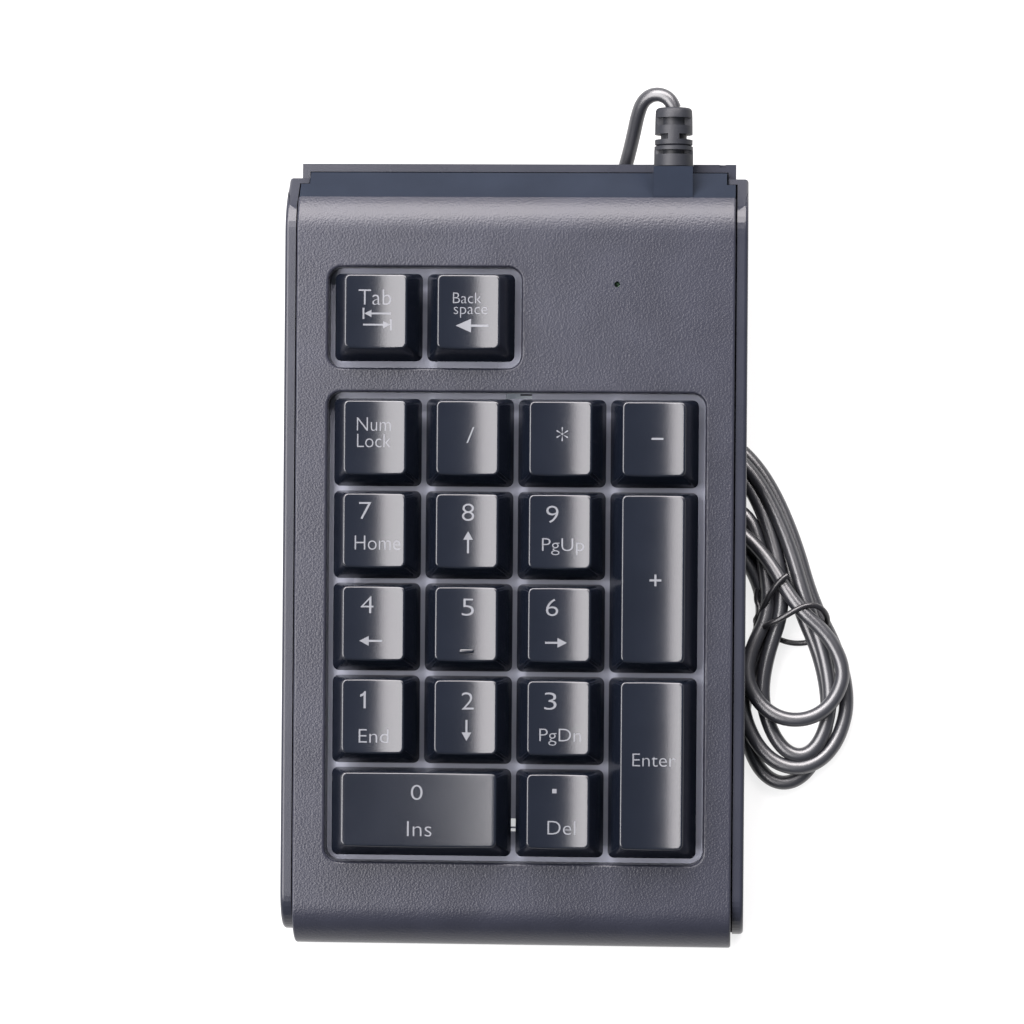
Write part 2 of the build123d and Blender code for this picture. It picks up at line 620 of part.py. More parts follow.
# Hank of the spare cord: a loose lower lobe, a waist at the tie and an upper lobe under the case
UP = (Align.CENTER, Align.CENTER, Align.MIN)
WAIST = (57.2, -10.2)
WAIST_W = 14.0
WAIST_H = 8.6
TIE_LEAN = 14.0
TIE_T = 1.0
LOBES = ((59.6, -30.0, 12.4, 20.0, 2.0, 9.4), (46.2, 8.2, 11.5, 22.0, 30.0, 6.1))
under_case = Plane(BODY.from_local_coords((0, 80, -0.35)), x_dir=BODY.x_dir, z_dir=BODY.z_dir)
with BuildPart() as cord_hank:
    for lobe_x, lobe_y, lobe_w, lobe_l, lean, height in LOBES:
        with BuildSketch(DESK):
            with Locations(Location((lobe_x, lobe_y), lean)):
                Ellipse(lobe_w, lobe_l)
        extrude(amount=height)
    with Locations(Location((*WAIST, 0), (0, 0, TIE_LEAN))):
        Box(WAIST_W, 16, WAIST_H, align=UP)
    with Locations(under_case):
        Box(WIDTH + 1.2, 170, 20, align=UP, mode=Mode.SUBTRACT)
    with Locations(Location((*WAIST, 0), (0, 0, TIE_LEAN))):
        with Locations((0, 0, -1), (0, 0, WAIST_H - TIE_T)):
            Box(30, 2.4, 1 + TIE_T, align=UP, mode=Mode.SUBTRACT)
        with Locations((-10 - WAIST_W / 2 + TIE_T, 0, -1), (10 + WAIST_W / 2 - TIE_T, 0, -1)):
            Box(20, 2.4, 20, align=UP, mode=Mode.SUBTRACT)
save(cord_hank.part, "cord_hank")

with BuildPart() as twist_tie:
    with Locations(Location((*WAIST, 0.05), (0, 0, TIE_LEAN))):
        Box(WAIST_W - 0.1, 2.2, WAIST_H - 0.1, align=UP)
        with Locations((0, 0, TIE_T - 0.05)):
            Box(WAIST_W - 2 * TIE_T, 3, WAIST_H - 2 * TIE_T, align=UP, mode=Mode.SUBTRACT)
    with Locations(Plane(origin=(52.0, -13.0, WAIST_H + 0.4), z_dir=(0.5, 0.86, 0))):
        Cylinder(0.7, 10.0, align=UP)
save(twist_tie.part, "twist_tie")

# Plug: overmould, metal shell and contact tongue, lying under the case and pointing to the left
PLUG_Y = 25.4
PLUG_Z = 3.5
with BuildPart(Plane.XY) as plug_body:
    with Locations((3.0, PLUG_Y, PLUG_Z)):
        Box(28, 14.5, 7.0)
    fillet(plug_body.edges().filter_by(Axis.X), 1.6)
    fillet(plug_body.faces().sort_by(Axis.X)[-1].edges(), 0.8)
save(plug_body.part, "plug_body")

with BuildPart() as plug_shell:
    with Locations((-17.0, PLUG_Y, PLUG_Z)):
        Box(12, 12.0, 4.5)
        Box(13, 11.4, 3.9, mode=Mode.SUBTRACT)
    with Locations((-18.2, PLUG_Y - 2.6, PLUG_Z + 2.2), (-18.2, PLUG_Y + 2.6, PLUG_Z + 2.2)):
        Box(2.2, 2.2, 1.0, mode=Mode.SUBTRACT)
save(plug_shell.part, "plug_shell")

with BuildPart() as plug_tongue:
    with Locations((-16.6, PLUG_Y, PLUG_Z - 1.05)):
        Box(11.2, 11.3, 1.8)
    with Locations(*[(-17.4, PLUG_Y + pin * 2.3, PLUG_Z - 0.15) for pin in (-1.5, -0.5, 0.5, 1.5)]):
        Box(8.0, 1.0, 0.12, align=UP)
save(plug_tongue.part, "plug_tongue")
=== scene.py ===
"""Looks of a wired numeric keypad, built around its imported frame.

Housing pieces are laid out in millimetres in the housing's own axes: x across, y from the front
edge to the rear, z up from the underside. HOUSING takes them to the row frame, in metres.
"""

import logging
from dataclasses import dataclass, field
from enum import Enum
from math import cos, pi, radians, sin
from typing import Iterable, Sequence

import bmesh
import bpy
from mathutils import Matrix, Vector


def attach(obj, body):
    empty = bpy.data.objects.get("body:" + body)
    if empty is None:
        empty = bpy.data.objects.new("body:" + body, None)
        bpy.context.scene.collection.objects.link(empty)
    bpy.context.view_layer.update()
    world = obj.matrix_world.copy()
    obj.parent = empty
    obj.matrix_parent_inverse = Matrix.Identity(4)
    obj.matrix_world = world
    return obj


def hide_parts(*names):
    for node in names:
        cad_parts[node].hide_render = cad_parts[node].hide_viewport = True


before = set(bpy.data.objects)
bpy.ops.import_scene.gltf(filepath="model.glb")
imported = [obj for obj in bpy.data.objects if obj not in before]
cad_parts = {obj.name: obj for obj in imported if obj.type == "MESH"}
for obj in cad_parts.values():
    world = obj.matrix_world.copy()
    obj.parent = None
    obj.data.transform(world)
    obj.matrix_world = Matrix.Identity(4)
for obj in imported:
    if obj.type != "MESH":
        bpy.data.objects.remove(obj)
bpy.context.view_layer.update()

logging.basicConfig(level=logging.INFO, format="%(name)s: %(message)s")
log = logging.getLogger("keypad")

Colour = tuple[float, float, float]
Point = tuple[float, float]

MM = 0.001

# Stance of the housing on the desk, as in the frame
TILT = radians(4.5)
PAD_Y = 10.0
PAD_H = 1.2
NOSE_R = 9.0
FRONT = -1.2
DECK_Z = 14.2
BODY_END = 161.5
NOSE_Y = (NOSE_R + FRONT) * cos(TILT) - (DECK_Z - NOSE_R) * sin(TILT) - NOSE_R
HOUSING_Y = -(NOSE_Y + BODY_END * cos(TILT)) / 2
HOUSING_Z = PAD_H * cos(TILT) - PAD_Y * sin(TILT)
DESK = Matrix.Scale(MM, 4)
HOUSING = DESK @ Matrix.Translation((0, HOUSING_Y, HOUSING_Z)) @ Matrix.Rotation(TILT, 4, "X")

# Key field
PITCH = 19.05
FIELD_X = 0.4
ROW_0 = 26.9
ROW_TOP = 128.9
CAP_SHIFT = 0.95
KEY_TOP_Z = 21.2
DISH = 0.6

# Where the cord leaves the strain relief, in the housing's axes
OUTLET = (32.3, 172.9, 6.4)


def column(index: float) -> float:
    """x of a key column, from 1 at the left to 4."""
    return FIELD_X + (index - 2.5) * PITCH


def row(index: float) -> float:
    """y of a key row, from 0 at the front to 4."""
    return ROW_0 + index * PITCH


def smooth(value: float) -> float:
    """Smooth step from 0 at 0 to 1 at 1."""
    held = min(max(value, 0.0), 1.0)
    return held * held * (3 - 2 * held)


def mix(low: float, high: float, share: float) -> float:
    """Value a share of the way from low to high."""
    return low + (high - low) * share


# Finishes


class Grain(Enum):
    """Relief of a surface."""

    SMOOTH = "smooth"
    SPARK = "spark"
    PEBBLE = "pebble"
    BRUSHED = "brushed"


@dataclass(frozen=True)
class Finish:
    """Moulded, printed or metal surface, given by its colour, gloss and fine relief.

    Args:
        name: The material's name.
        colour: Base colour, linear.
        roughness: Middle roughness.
        grain: Kind of relief.
        grain_mm: Size of the relief's features.
        depth_mm: Height of the relief.
        mottle: Share by which the colour varies over the surface.
        gloss_spread: How far the roughness varies either way.
        metallic: 1 for bare metal.
        specular: Strength of the reflection of a non-metal.
        coat: Strength of a clear top layer.
        coat_roughness: Roughness of that layer.
        transmission: 1 for clear plastic.
        glow: Painted light: emission in the piece's own colour that makes it look lit, though it is no lamp.
    """

    name: str
    colour: Colour
    roughness: float
    grain: Grain = Grain.SPARK
    grain_mm: float = 0.25
    depth_mm: float = 0.01
    mottle: float = 0.08
    gloss_spread: float = 0.04
    metallic: float = 0.0
    specular: float = 0.5
    coat: float = 0.0
    coat_roughness: float = 0.1
    transmission: float = 0.0
    glow: float = 0.0

    def material(self) -> bpy.types.Material:
        """The finish's material, made on first use."""
        found = bpy.data.materials.get(self.name)
        return found or self._build()

    def _build(self) -> bpy.types.Material:
        """Make the shader tree.

        Returns:
            The new material.
        """
        made = bpy.data.materials.new(self.name)
        made.use_nodes = True
        made.diffuse_color = (*self.colour, 1)
        tree = made.node_tree
        shader = tree.nodes["Principled BSDF"]
        shader.inputs["Metallic"].default_value = self.metallic
        shader.inputs["Specular IOR Level"].default_value = self.specular
        shader.inputs["Coat Weight"].default_value = self.coat
        shader.inputs["Coat Roughness"].default_value = self.coat_roughness
        shader.inputs["Transmission Weight"].default_value = self.transmission
        # Painted light: a finish with glow emits its own colour, though no piece here is a lamp.
        shader.inputs["Emission Color"].default_value = (*self.colour, 1)
        shader.inputs["Emission Strength"].default_value = self.glow
        place = tree.nodes.new("ShaderNodeTexCoord").outputs["Object"]
        self._tint(tree, shader, place)
        self._relief(tree, shader, place)
        return made

    def _tint(self, tree: bpy.types.NodeTree, shader: bpy.types.Node, place: bpy.types.NodeSocket) -> None:
        """Vary colour and gloss a little over the surface.

        Args:
            tree: The material's nodes.
            shader: Its surface shader.
            place: Coordinates that the patterns read.
        """
        cloud = tree.nodes.new("ShaderNodeTexNoise")
        cloud.inputs["Scale"].default_value = 90
        cloud.inputs["Detail"].default_value = 4
        tree.links.new(place, cloud.inputs["Vector"])
        ramp = tree.nodes.new("ShaderNodeValToRGB")
        ramp.color_ramp.elements[0].position = 0.3
        ramp.color_ramp.elements[1].position = 0.7
        ramp.color_ramp.elements[0].color = (*(c * (1 - self.mottle) for c in self.colour), 1)
        ramp.color_ramp.elements[1].color = (*(min(c * (1 + self.mottle), 1) for c in self.colour), 1)
        tree.links.new(cloud.outputs["Fac"], ramp.inputs["Fac"])
        tree.links.new(ramp.outputs["Color"], shader.inputs["Base Color"])
        gloss = tree.nodes.new("ShaderNodeMapRange")
        gloss.inputs["To Min"].default_value = max(self.roughness - self.gloss_spread, 0.02)
        gloss.inputs["To Max"].default_value = min(self.roughness + self.gloss_spread, 1.0)
        tree.links.new(cloud.outputs["Fac"], gloss.inputs["Value"])
        tree.links.new(gloss.outputs["Result"], shader.inputs["Roughness"])

    def _relief(self, tree: bpy.types.NodeTree, shader: bpy.types.Node, place: bpy.types.NodeSocket) -> None:
        """Give the surface its fine relief.

        Args:
            tree: The material's nodes.
            shader: Its surface shader.
            place: Coordinates that the patterns read.
        """
        if self.grain is Grain.SMOOTH:
            return
        scale = 1 / (self.grain_mm * MM)
        if self.grain is Grain.PEBBLE:
            pattern = tree.nodes.new("ShaderNodeTexVoronoi")
            pattern.feature = "SMOOTH_F1"
            height = pattern.outputs["Distance"]
        else:
            pattern = tree.nodes.new("ShaderNodeTexNoise")
            pattern.inputs["Detail"].default_value = 3
            height = pattern.outputs["Fac"]
        pattern.inputs["Scale"].default_value = scale
        source = place
        if self.grain is Grain.BRUSHED:
            stretch = tree.nodes.new("ShaderNodeMapping")
            stretch.inputs["Scale"].default_value = (0.03, 1, 1)
            tree.links.new(place, stretch.inputs["Vector"])
            source = stretch.outputs["Vector"]
        tree.links.new(source, pattern.inputs["Vector"])
        bump = tree.nodes.new("ShaderNodeBump")
        bump.inputs["Strength"].default_value = 1
        bump.inputs["Distance"].default_value = self.depth_mm * MM
        tree.links.new(height, bump.inputs["Height"])
        tree.links.new(bump.outputs["Normal"], shader.inputs["Normal"])


COVER = Finish(
    "cover_plastic", (0.0135, 0.0145, 0.0215), 0.33, Grain.PEBBLE, 0.36, 0.045, 0.10, 0.03, specular=0.28
)
SHELL = Finish("shell_plastic", (0.0115, 0.0128, 0.0190), 0.28, grain_mm=0.5, depth_mm=0.006, specular=0.3)
PANEL = Finish("panel_plastic", (0.0100, 0.0128, 0.0195), 0.22, grain_mm=0.5, depth_mm=0.004, specular=0.06)
# Partly painted sheen: the key bed's grey is partly its own, and partly lifted to stand in for the sheen it
# shows between the keys, where the keys shade it.
BED = Finish("bed_plastic", (0.260, 0.275, 0.335), 0.48, grain_mm=0.3, depth_mm=0.01)
KEY = Finish("key_plastic", (0.0035, 0.0048, 0.0085), 0.19, grain_mm=0.28, depth_mm=0.008, gloss_spread=0.02)
PRINT = Finish("legend_ink", (0.078, 0.082, 0.092), 0.5, grain_mm=0.08, depth_mm=0.004, mottle=0.05)
# The dome sheet's emission is painted light: it makes the sheet read white in the slot between keys, though
# it is no lamp.
SILICONE = Finish("dome_silicone", (0.80, 0.80, 0.78), 0.55, grain_mm=0.4, depth_mm=0.006, glow=0.55)
FILM = Finish("membrane_film", (0.32, 0.36, 0.34), 0.25, grain_mm=1.2, depth_mm=0.01, coat=0.3)
BOARD = Finish("board_resist", (0.012, 0.115, 0.045), 0.35, grain_mm=0.6, depth_mm=0.012, coat=0.2)
CHIP = Finish("chip_epoxy", (0.018, 0.018, 0.020), 0.55, grain_mm=0.12, depth_mm=0.006)
LAMP = Finish("lamp_lens", (0.35, 0.75, 0.40), 0.12, grain_mm=1.0, depth_mm=0.004, transmission=0.6)
CONNECTOR = Finish("connector_nylon", (0.72, 0.70, 0.62), 0.45, grain_mm=0.3, depth_mm=0.008)
BAR = Finish("bar_plastic", (0.09, 0.09, 0.10), 0.50, grain_mm=0.3, depth_mm=0.01)
SCREW = Finish("screw_steel", (0.42, 0.42, 0.44), 0.32, Grain.BRUSHED, 0.3, 0.003, metallic=1.0)
WIRE = Finish("spring_steel", (0.56, 0.56, 0.58), 0.22, Grain.BRUSHED, 0.2, 0.002, metallic=1.0)
LEAD = Finish("lead_insulation", (0.45, 0.04, 0.035), 0.40, grain_mm=0.6, depth_mm=0.006)
RUBBER = Finish("pad_rubber", (0.016, 0.016, 0.018), 0.75, grain_mm=0.3, depth_mm=0.02)
RELIEF = Finish("relief_vinyl", (0.0075, 0.0085, 0.0115), 0.50, grain_mm=0.35, depth_mm=0.02, specular=0.28)
CORD = Finish(
    "cord_vinyl", (0.0105, 0.0112, 0.0142), 0.35, grain_mm=1.4, depth_mm=0.02, mottle=0.12, specular=0.85
)
TIE = Finish("tie_plastic", (0.0060, 0.0060, 0.0075), 0.35, grain_mm=0.6, depth_mm=0.02)
PLUG = Finish("plug_vinyl", (0.010, 0.011, 0.013), 0.42, grain_mm=0.3, depth_mm=0.012)
PLUG_METAL = Finish("plug_nickel", (0.62, 0.61, 0.58), 0.20, Grain.BRUSHED, 0.3, 0.002, metallic=1.0)
TONGUE = Finish("tongue_nylon", (0.78, 0.78, 0.76), 0.45, grain_mm=0.3, depth_mm=0.006)
LABEL = Finish("label_foil", (0.50, 0.51, 0.52), 0.38, Grain.BRUSHED, 0.25, 0.002, metallic=0.8)


def dress(piece: bpy.types.Object, finish: Finish) -> None:
    """Give a piece one finish all over."""
    piece.data.materials.clear()
    piece.data.materials.append(finish.material())


# Mesh helpers


def link(name: str, data: bpy.types.ID) -> bpy.types.Object:
    """Add an object at the origin that holds this data."""
    made = bpy.data.objects.new(name, data)
    bpy.context.scene.collection.objects.link(made)
    return made


def piece_from(name: str, built: bmesh.types.BMesh, place: Matrix, crease: float = 35) -> bpy.types.Object:
    """Turn a closed shape in millimetres into a piece of the object.

    Args:
        name: The piece's name.
        built: Its shape, freed here.
        place: Matrix from the shape's axes to the row frame.
        crease: Edges that turn more than this many degrees stay sharp.

    Returns:
        The new object, at the origin.
    """
    bmesh.ops.remove_doubles(built, verts=built.verts, dist=0.0005)
    bmesh.ops.dissolve_degenerate(built, edges=built.edges, dist=0.0004)
    bmesh.ops.recalc_face_normals(built, faces=built.faces)
    built.transform(place)
    mesh = bpy.data.meshes.new(name)
    built.to_mesh(mesh)
    built.free()
    mesh.shade_smooth()
    mesh.set_sharp_from_angle(angle=radians(crease))
    return link(name, mesh)


def add_box(built: bmesh.types.BMesh, low: Sequence[float], high: Sequence[float]) -> None:
    """Add a closed box between two corners."""
    size = Vector(high) - Vector(low)
    centre = (Vector(high) + Vector(low)) / 2
    bmesh.ops.create_cube(built, matrix=Matrix.Translation(centre) @ Matrix.Diagonal((*size, 1)))


def bridge(built: bmesh.types.BMesh, rings: Sequence[Sequence[bmesh.types.BMVert]]) -> None:
    """Join each ring of points to the next with quads."""
    for low, high in zip(rings, rings[1:]):
        for here in range(len(low)):
            ahead = (here + 1) % len(low)
            built.faces.new((low[here], low[ahead], high[ahead], high[here]))


def rounded_outline(
    width: float, length: float, corner: float, steps: int = 5, runs: int = 12
) -> list[Point]:
    """Points round a rectangle with rounded corners, the same number for every size.

    Args:
        width: Full size along x.
        length: Full size along y.
        corner: Corner radius, cut down where the rectangle is too small for it.
        steps: Parts of each corner.
        runs: Parts of each straight side.

    Returns:
        The points, anticlockwise.
    """
    radius = max(min(corner, width / 2 - 0.001, length / 2 - 0.001), 0.001)
    arcs = []
    for quarter, (side_x, side_y) in enumerate(((1, 1), (-1, 1), (-1, -1), (1, -1))):
        centre_x = side_x * (width / 2 - radius)
        centre_y = side_y * (length / 2 - radius)
        turns = [(quarter + step / steps) * pi / 2 for step in range(steps + 1)]
        arcs.append([(centre_x + radius * cos(a), centre_y + radius * sin(a)) for a in turns])
    outline = []
    for arc, following in zip(arcs, arcs[1:] + arcs[:1]):
        outline += arc
        (x0, y0), (x1, y1) = arc[-1], following[0]
        outline += [(mix(x0, x1, run / runs), mix(y0, y1, run / runs)) for run in range(1, runs)]
    return outline


def smoothed_copy(node: str, name: str, body: str, finish: Finish) -> bpy.types.Object:
    """Replace a moulded frame node by a copy whose curved faces shade as curves.

    Args:
        node: The frame node.
        name: The new piece's name.
        body: The body that it rides on.
        finish: Its finish.

    Returns:
        The new piece.
    """
    built = bmesh.new()
    built.from_mesh(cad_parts[node].data)
    bmesh.ops.remove_doubles(built, verts=built.verts, dist=0.002 * MM)
    mesh = bpy.data.meshes.new(name)
    built.to_mesh(mesh)
    built.free()
    mesh.materials.clear()
    mesh.shade_smooth()
    mesh.set_sharp_from_angle(angle=radians(13))
    raw = link(name, mesh)
    weigh = raw.modifiers.new("weigh", "WEIGHTED_NORMAL")
    weigh.keep_sharp = True
    weigh.weight = 100
    bake_modifiers(raw)
    dress(raw, finish)
    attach(raw, body)
    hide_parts(node)
    log.info("%s: %d faces", name, len(raw.data.polygons))
    return raw


def bake_modifiers(piece: bpy.types.Object) -> None:
    """Turn what a piece's modifiers make into its plain mesh."""
    bpy.context.view_layer.update()
    ready = piece.evaluated_get(bpy.context.evaluated_depsgraph_get())
    mesh = bpy.data.meshes.new_from_object(ready)
    piece.modifiers.clear()
    piece.data = mesh


# Geometry Nodes helpers


def round_line(name: str, points: Sequence[Vector], radius: float, sides: int, runs: int) -> bpy.types.Curve:
    """One open smooth spline with a round section.

    Args:
        name: The curve's name.
        points: Its control points.
        radius: Radius of the section.
        sides: Fineness of the section.
        runs: Steps from one point to the next.

    Returns:
        The curve.
    """
    curve = bpy.data.curves.new(name, "CURVE")
    curve.dimensions = "3D"
    curve.bevel_depth = radius
    curve.bevel_resolution = sides
    curve.resolution_u = runs
    curve.use_fill_caps = True
    spline = curve.splines.new("NURBS")
    spline.points.add(len(points) - 1)
    for slot, point in zip(spline.points, points):
        slot.co = (*point, 1)
    spline.order_u = 3
    spline.use_endpoint_u = True
    return curve


class TreeKit:
    """A geometry node tree under construction, with named inputs."""

    def __init__(self, name: str) -> None:
        """Start a tree that takes and gives geometry."""
        self.tree = bpy.data.node_groups.new(name, "GeometryNodeTree")
        self.tree.interface.new_socket("Geometry", in_out="INPUT", socket_type="NodeSocketGeometry")
        self.tree.interface.new_socket("Geometry", in_out="OUTPUT", socket_type="NodeSocketGeometry")
        self.entry = self.tree.nodes.new("NodeGroupInput")
        self.exit = self.tree.nodes.new("NodeGroupOutput")

    def size(self, name: str, default: float) -> bpy.types.NodeSocket:
        """Add a named length or number and give its socket in the tree."""
        socket = self.tree.interface.new_socket(name, in_out="INPUT", socket_type="NodeSocketFloat")
        socket.default_value = default
        return self.entry.outputs[name]

    def add(self, kind: str, **links: object) -> bpy.types.Node:
        """Add a node.

        Args:
            kind: The node's type.
            links: What each input gets, by the input's name with _ for a space: a socket or a value.

        Returns:
            The new node.
        """
        made = self.tree.nodes.new(kind)
        for key, value in links.items():
            self.feed(made, key.replace("_", " "), value)
        return made

    def feed(self, node: bpy.types.Node, key: str, value: object) -> None:
        """Give one input of a node a socket's output or a value."""
        target = next(s for s in node.inputs if s.name == key and s.enabled)
        if isinstance(value, bpy.types.NodeSocket):
            self.tree.links.new(value, target)
        else:
            target.default_value = value

    def maths(self, operation: str, first: object, second: object) -> bpy.types.NodeSocket:
        """Result of an operation on two numbers."""
        made = self.tree.nodes.new("ShaderNodeMath")
        made.operation = operation
        for socket, value in zip(made.inputs, (first, second)):
            if isinstance(value, bpy.types.NodeSocket):
                self.tree.links.new(value, socket)
            else:
                socket.default_value = value
        return made.outputs[0]

    def vector(self, x: object = 0.0, y: object = 0.0, z: object = 0.0) -> bpy.types.NodeSocket:
        """A vector of three sockets or values."""
        return self.add("ShaderNodeCombineXYZ", X=x, Y=y, Z=z).outputs["Vector"]

    def join(self, *parts: bpy.types.NodeSocket) -> bpy.types.NodeSocket:
        """Geometry of several parts together."""
        made = self.tree.nodes.new("GeometryNodeJoinGeometry")
        for part in reversed(parts):
            self.tree.links.new(part, made.inputs["Geometry"])
        return made.outputs["Geometry"]

    def finish(self, result: bpy.types.NodeSocket, finish: Finish) -> None:
        """End the tree: real geometry with its material."""
        real = self.add("GeometryNodeRealizeInstances", Geometry=result)
        skin = self.add("GeometryNodeSetMaterial", Geometry=real.outputs["Geometry"])
        skin.inputs["Material"].default_value = finish.material()
        self.tree.links.new(skin.outputs["Geometry"], self.exit.inputs["Geometry"])

    def make(
        self, name: str, seeds: Iterable[Sequence[float]], place: Matrix, **sizes: float
    ) -> bpy.types.Object:
        """Run the tree on some points and keep the result as a plain mesh.

        Args:
            name: The piece's name.
            seeds: Points that the tree starts from, in millimetres.
            place: Matrix from those axes to the row frame.
            sizes: Named inputs, by name with _ for a space.

        Returns:
            The new object, at the origin.
        """
        mesh = bpy.data.meshes.new(name)
        mesh.from_pydata([tuple(seed) for seed in seeds], [], [])
        made = link(name, mesh)
        run = made.modifiers.new("build", "NODES")
        run.node_group = self.tree
        for key, value in sizes.items():
            run[self.entry.outputs[key.replace("_", " ")].identifier] = value
        bake_modifiers(made)
        made.data.transform(place)
        made.data.shade_smooth()
        made.data.set_sharp_from_angle(angle=radians(40))
        return made


# Keys


@dataclass
class KeyCap:
    """A hollow key with sloping sides, a rounded rim and a top dished along its length.

    Args:
        name: The frame node and body that it stands for.
        x: Centre of the base, across.
        y: Centre of the base, along.
        extra_w: Length added across for a wide key.
        extra_l: Length added along for a tall key.
    """

    name: str
    x: float
    y: float
    extra_w: float = 0.0
    extra_l: float = 0.0
    base: float = 18.1
    top_w: float = 12.8
    top_l: float = 15.0
    base_z: float = 13.2
    base_corner: float = 1.3
    top_corner: float = 1.15
    rim: float = 0.42
    wall: float = 1.3
    ceiling_z: float = 19.0
    stem: float = 5.2
    stem_z: float = 6.4
    barb_z: float = 7.35

    def top_size(self) -> Point:
        """Width and length of the top."""
        return self.top_w + self.extra_w, self.top_l + self.extra_l

    def dish_radius(self) -> float:
        """Radius of the top's dish."""
        return self.top_size()[0] ** 2 / (8 * DISH)

    def top_z(self, across: float) -> float:
        """Height of the dished top at a distance across from its centre."""
        radius = self.dish_radius()
        held = min(abs(across), radius * 0.99)
        return KEY_TOP_Z - DISH + radius - (radius**2 - held**2) ** 0.5

    def _rings(self) -> list[list[Vector]]:
        """Outer rings from the base up the sides, over the rim and in to the middle of the dish."""
        width, length = self.top_size()
        low = rounded_outline(self.base + self.extra_w, self.base + self.extra_l, self.base_corner)
        high = rounded_outline(width, length, self.top_corner)
        foot = [Vector((x, y, self.base_z)) for x, y in low]
        crown = [Vector((x, y + CAP_SHIFT, KEY_TOP_Z)) for x, y in high]
        inset = self._inset(self.rim)
        corners = []
        for outer, edge in zip(foot, crown):
            share = (self.top_z(edge.x) - self.base_z) / (KEY_TOP_Z - self.base_z)
            corners.append(outer.lerp(edge, share))
        falls = [(outer - corner).normalized() for outer, corner in zip(foot, corners)]
        starts = [corner + fall * self.rim for corner, fall in zip(corners, falls)]
        rings = [foot]
        rings += [[a.lerp(b, share) for a, b in zip(foot, starts)] for share in (0.05, 0.5, 0.97)]
        for step in range(6):
            t = step / 5
            rings.append([
                a * (1 - t) ** 2 + corner * 2 * t * (1 - t) + b * t**2
                for a, corner, b in zip(starts, corners, inset)
            ])
        deepest = min(width, length) / 2
        for step in range(1, 13):
            rings.append(self._inset(mix(self.rim, deepest, step / 12)))
        return rings

    def _inset(self, distance: float) -> list[Vector]:
        """Ring on the dish, a distance in from the top's outline."""
        width, length = self.top_size()
        ring = rounded_outline(width - 2 * distance, length - 2 * distance, self.top_corner - distance)
        return [Vector((x, y + CAP_SHIFT, self.top_z(x))) for x, y in ring]

    def _hollow(self) -> list[list[Vector]]:
        """Inner rings from the mouth up to the ceiling."""
        width, length = self.top_size()
        mouth_w = self.base + self.extra_w - 2 * self.wall
        mouth_l = self.base + self.extra_l - 2 * self.wall
        mouth = [Vector((x, y, self.base_z)) for x, y in rounded_outline(mouth_w, mouth_l, 0.6)]
        roof = rounded_outline(width - 1.6, length - 1.6, 0.6)
        return [mouth, [Vector((x, y + CAP_SHIFT, self.ceiling_z)) for x, y in roof]]

    def _struts(self) -> list[tuple[Sequence[float], Sequence[float]]]:
        """Corners of the plunger, its barbs and, on a long key, the two tabs that hold the wire."""
        half = self.stem / 2
        boxes = [
            ((-half, -half, self.stem_z), (half, half, self.ceiling_z + 0.3)),
            ((-half - 0.7, -1.2, self.stem_z), (half + 0.7, 1.2, self.barb_z)),
        ]
        for end in (-9.6, 9.6):
            if self.extra_l:
                boxes.append(((-5.0, end - 0.8, 14.6), (-0.6, end + 0.8, self.ceiling_z + 0.3)))
            if self.extra_w:
                boxes.append(((end - 0.8, 0.6, 14.6), (end + 0.8, 5.0, self.ceiling_z + 0.3)))
        return boxes

    def build(self) -> bpy.types.Object:
        """Make the key and put it on its body.

        Returns:
            The key's object.
        """
        built = bmesh.new()
        outer = [[built.verts.new(p) for p in ring] for ring in self._rings()]
        inner = [[built.verts.new(p) for p in ring] for ring in self._hollow()]
        bridge(built, [*reversed(outer), *inner])
        built.faces.new(inner[-1])
        for low, high in self._struts():
            add_box(built, low, high)
        if self.name == "key_5":
            self._homing_bar(built)
        made = piece_from(self.name.replace("key_", "cap_"), built, self.place())
        dress(made, KEY)
        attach(made, self.name)
        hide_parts(self.name)
        log.info("%s: %d faces", made.name, len(made.data.polygons))
        return made

    def _homing_bar(self, built: bmesh.types.BMesh) -> None:
        """Add the raised bar that a finger finds on the middle key."""
        floor_z = self.top_z(0) - 0.3
        rings = []
        for grow, lift in ((0, 0), (0, 0.55), (-0.12, 0.68), (-0.3, 0.72)):
            ring = rounded_outline(3.0 + 2 * grow, 0.8 + 2 * grow, 0.4 + grow, 5, 4)
            rings.append([built.verts.new((x + 0.1, y - 4.6, floor_z + lift)) for x, y in ring])
        bridge(built, rings)
        built.faces.new(rings[0][::-1])
        built.faces.new(rings[-1])

    def place(self) -> Matrix:
        """Matrix from the key's own axes to the row frame."""
        return HOUSING @ Matrix.Translation((self.x, self.y, 0))


@dataclass(frozen=True)
class Word:
    """Printed text: its height is that of a capital, and its width is of the whole text."""

    text: str
    height: float
    width: float
    x: float
    base: float


@dataclass(frozen=True)
class Arrow:
    """Printed arrow from a tail to a tip, with a bar across its tip where it is a tab stop."""

    tail: Point
    tip: Point
    head: float
    half: float
    shaft: float = 0.42
    stop: float = 0.0


@dataclass(frozen=True)
class Dash:
    """Printed bar."""

    x: float
    y: float
    width: float
    height: float


@dataclass(frozen=True)
class Numeral:
    """Printed figure one, with its flag: its place is that of its foot."""

    x: float
    y: float
    height: float = 3.5

    def outline(self) -> list[Point]:
        """Corners of the figure, in order."""
        tall = self.height
        stem = ((0.0, 0.0), (0.44, 0.0), (0.44, tall), (0.14, tall))
        flag = ((-0.12, tall - 0.4), (-0.72, tall - 0.72), (-0.72, tall - 1.18), (0.0, tall - 0.88))
        return [(self.x + x, self.y + y) for x, y in (*stem, *flag)]


Mark = Word | Arrow | Dash | Numeral


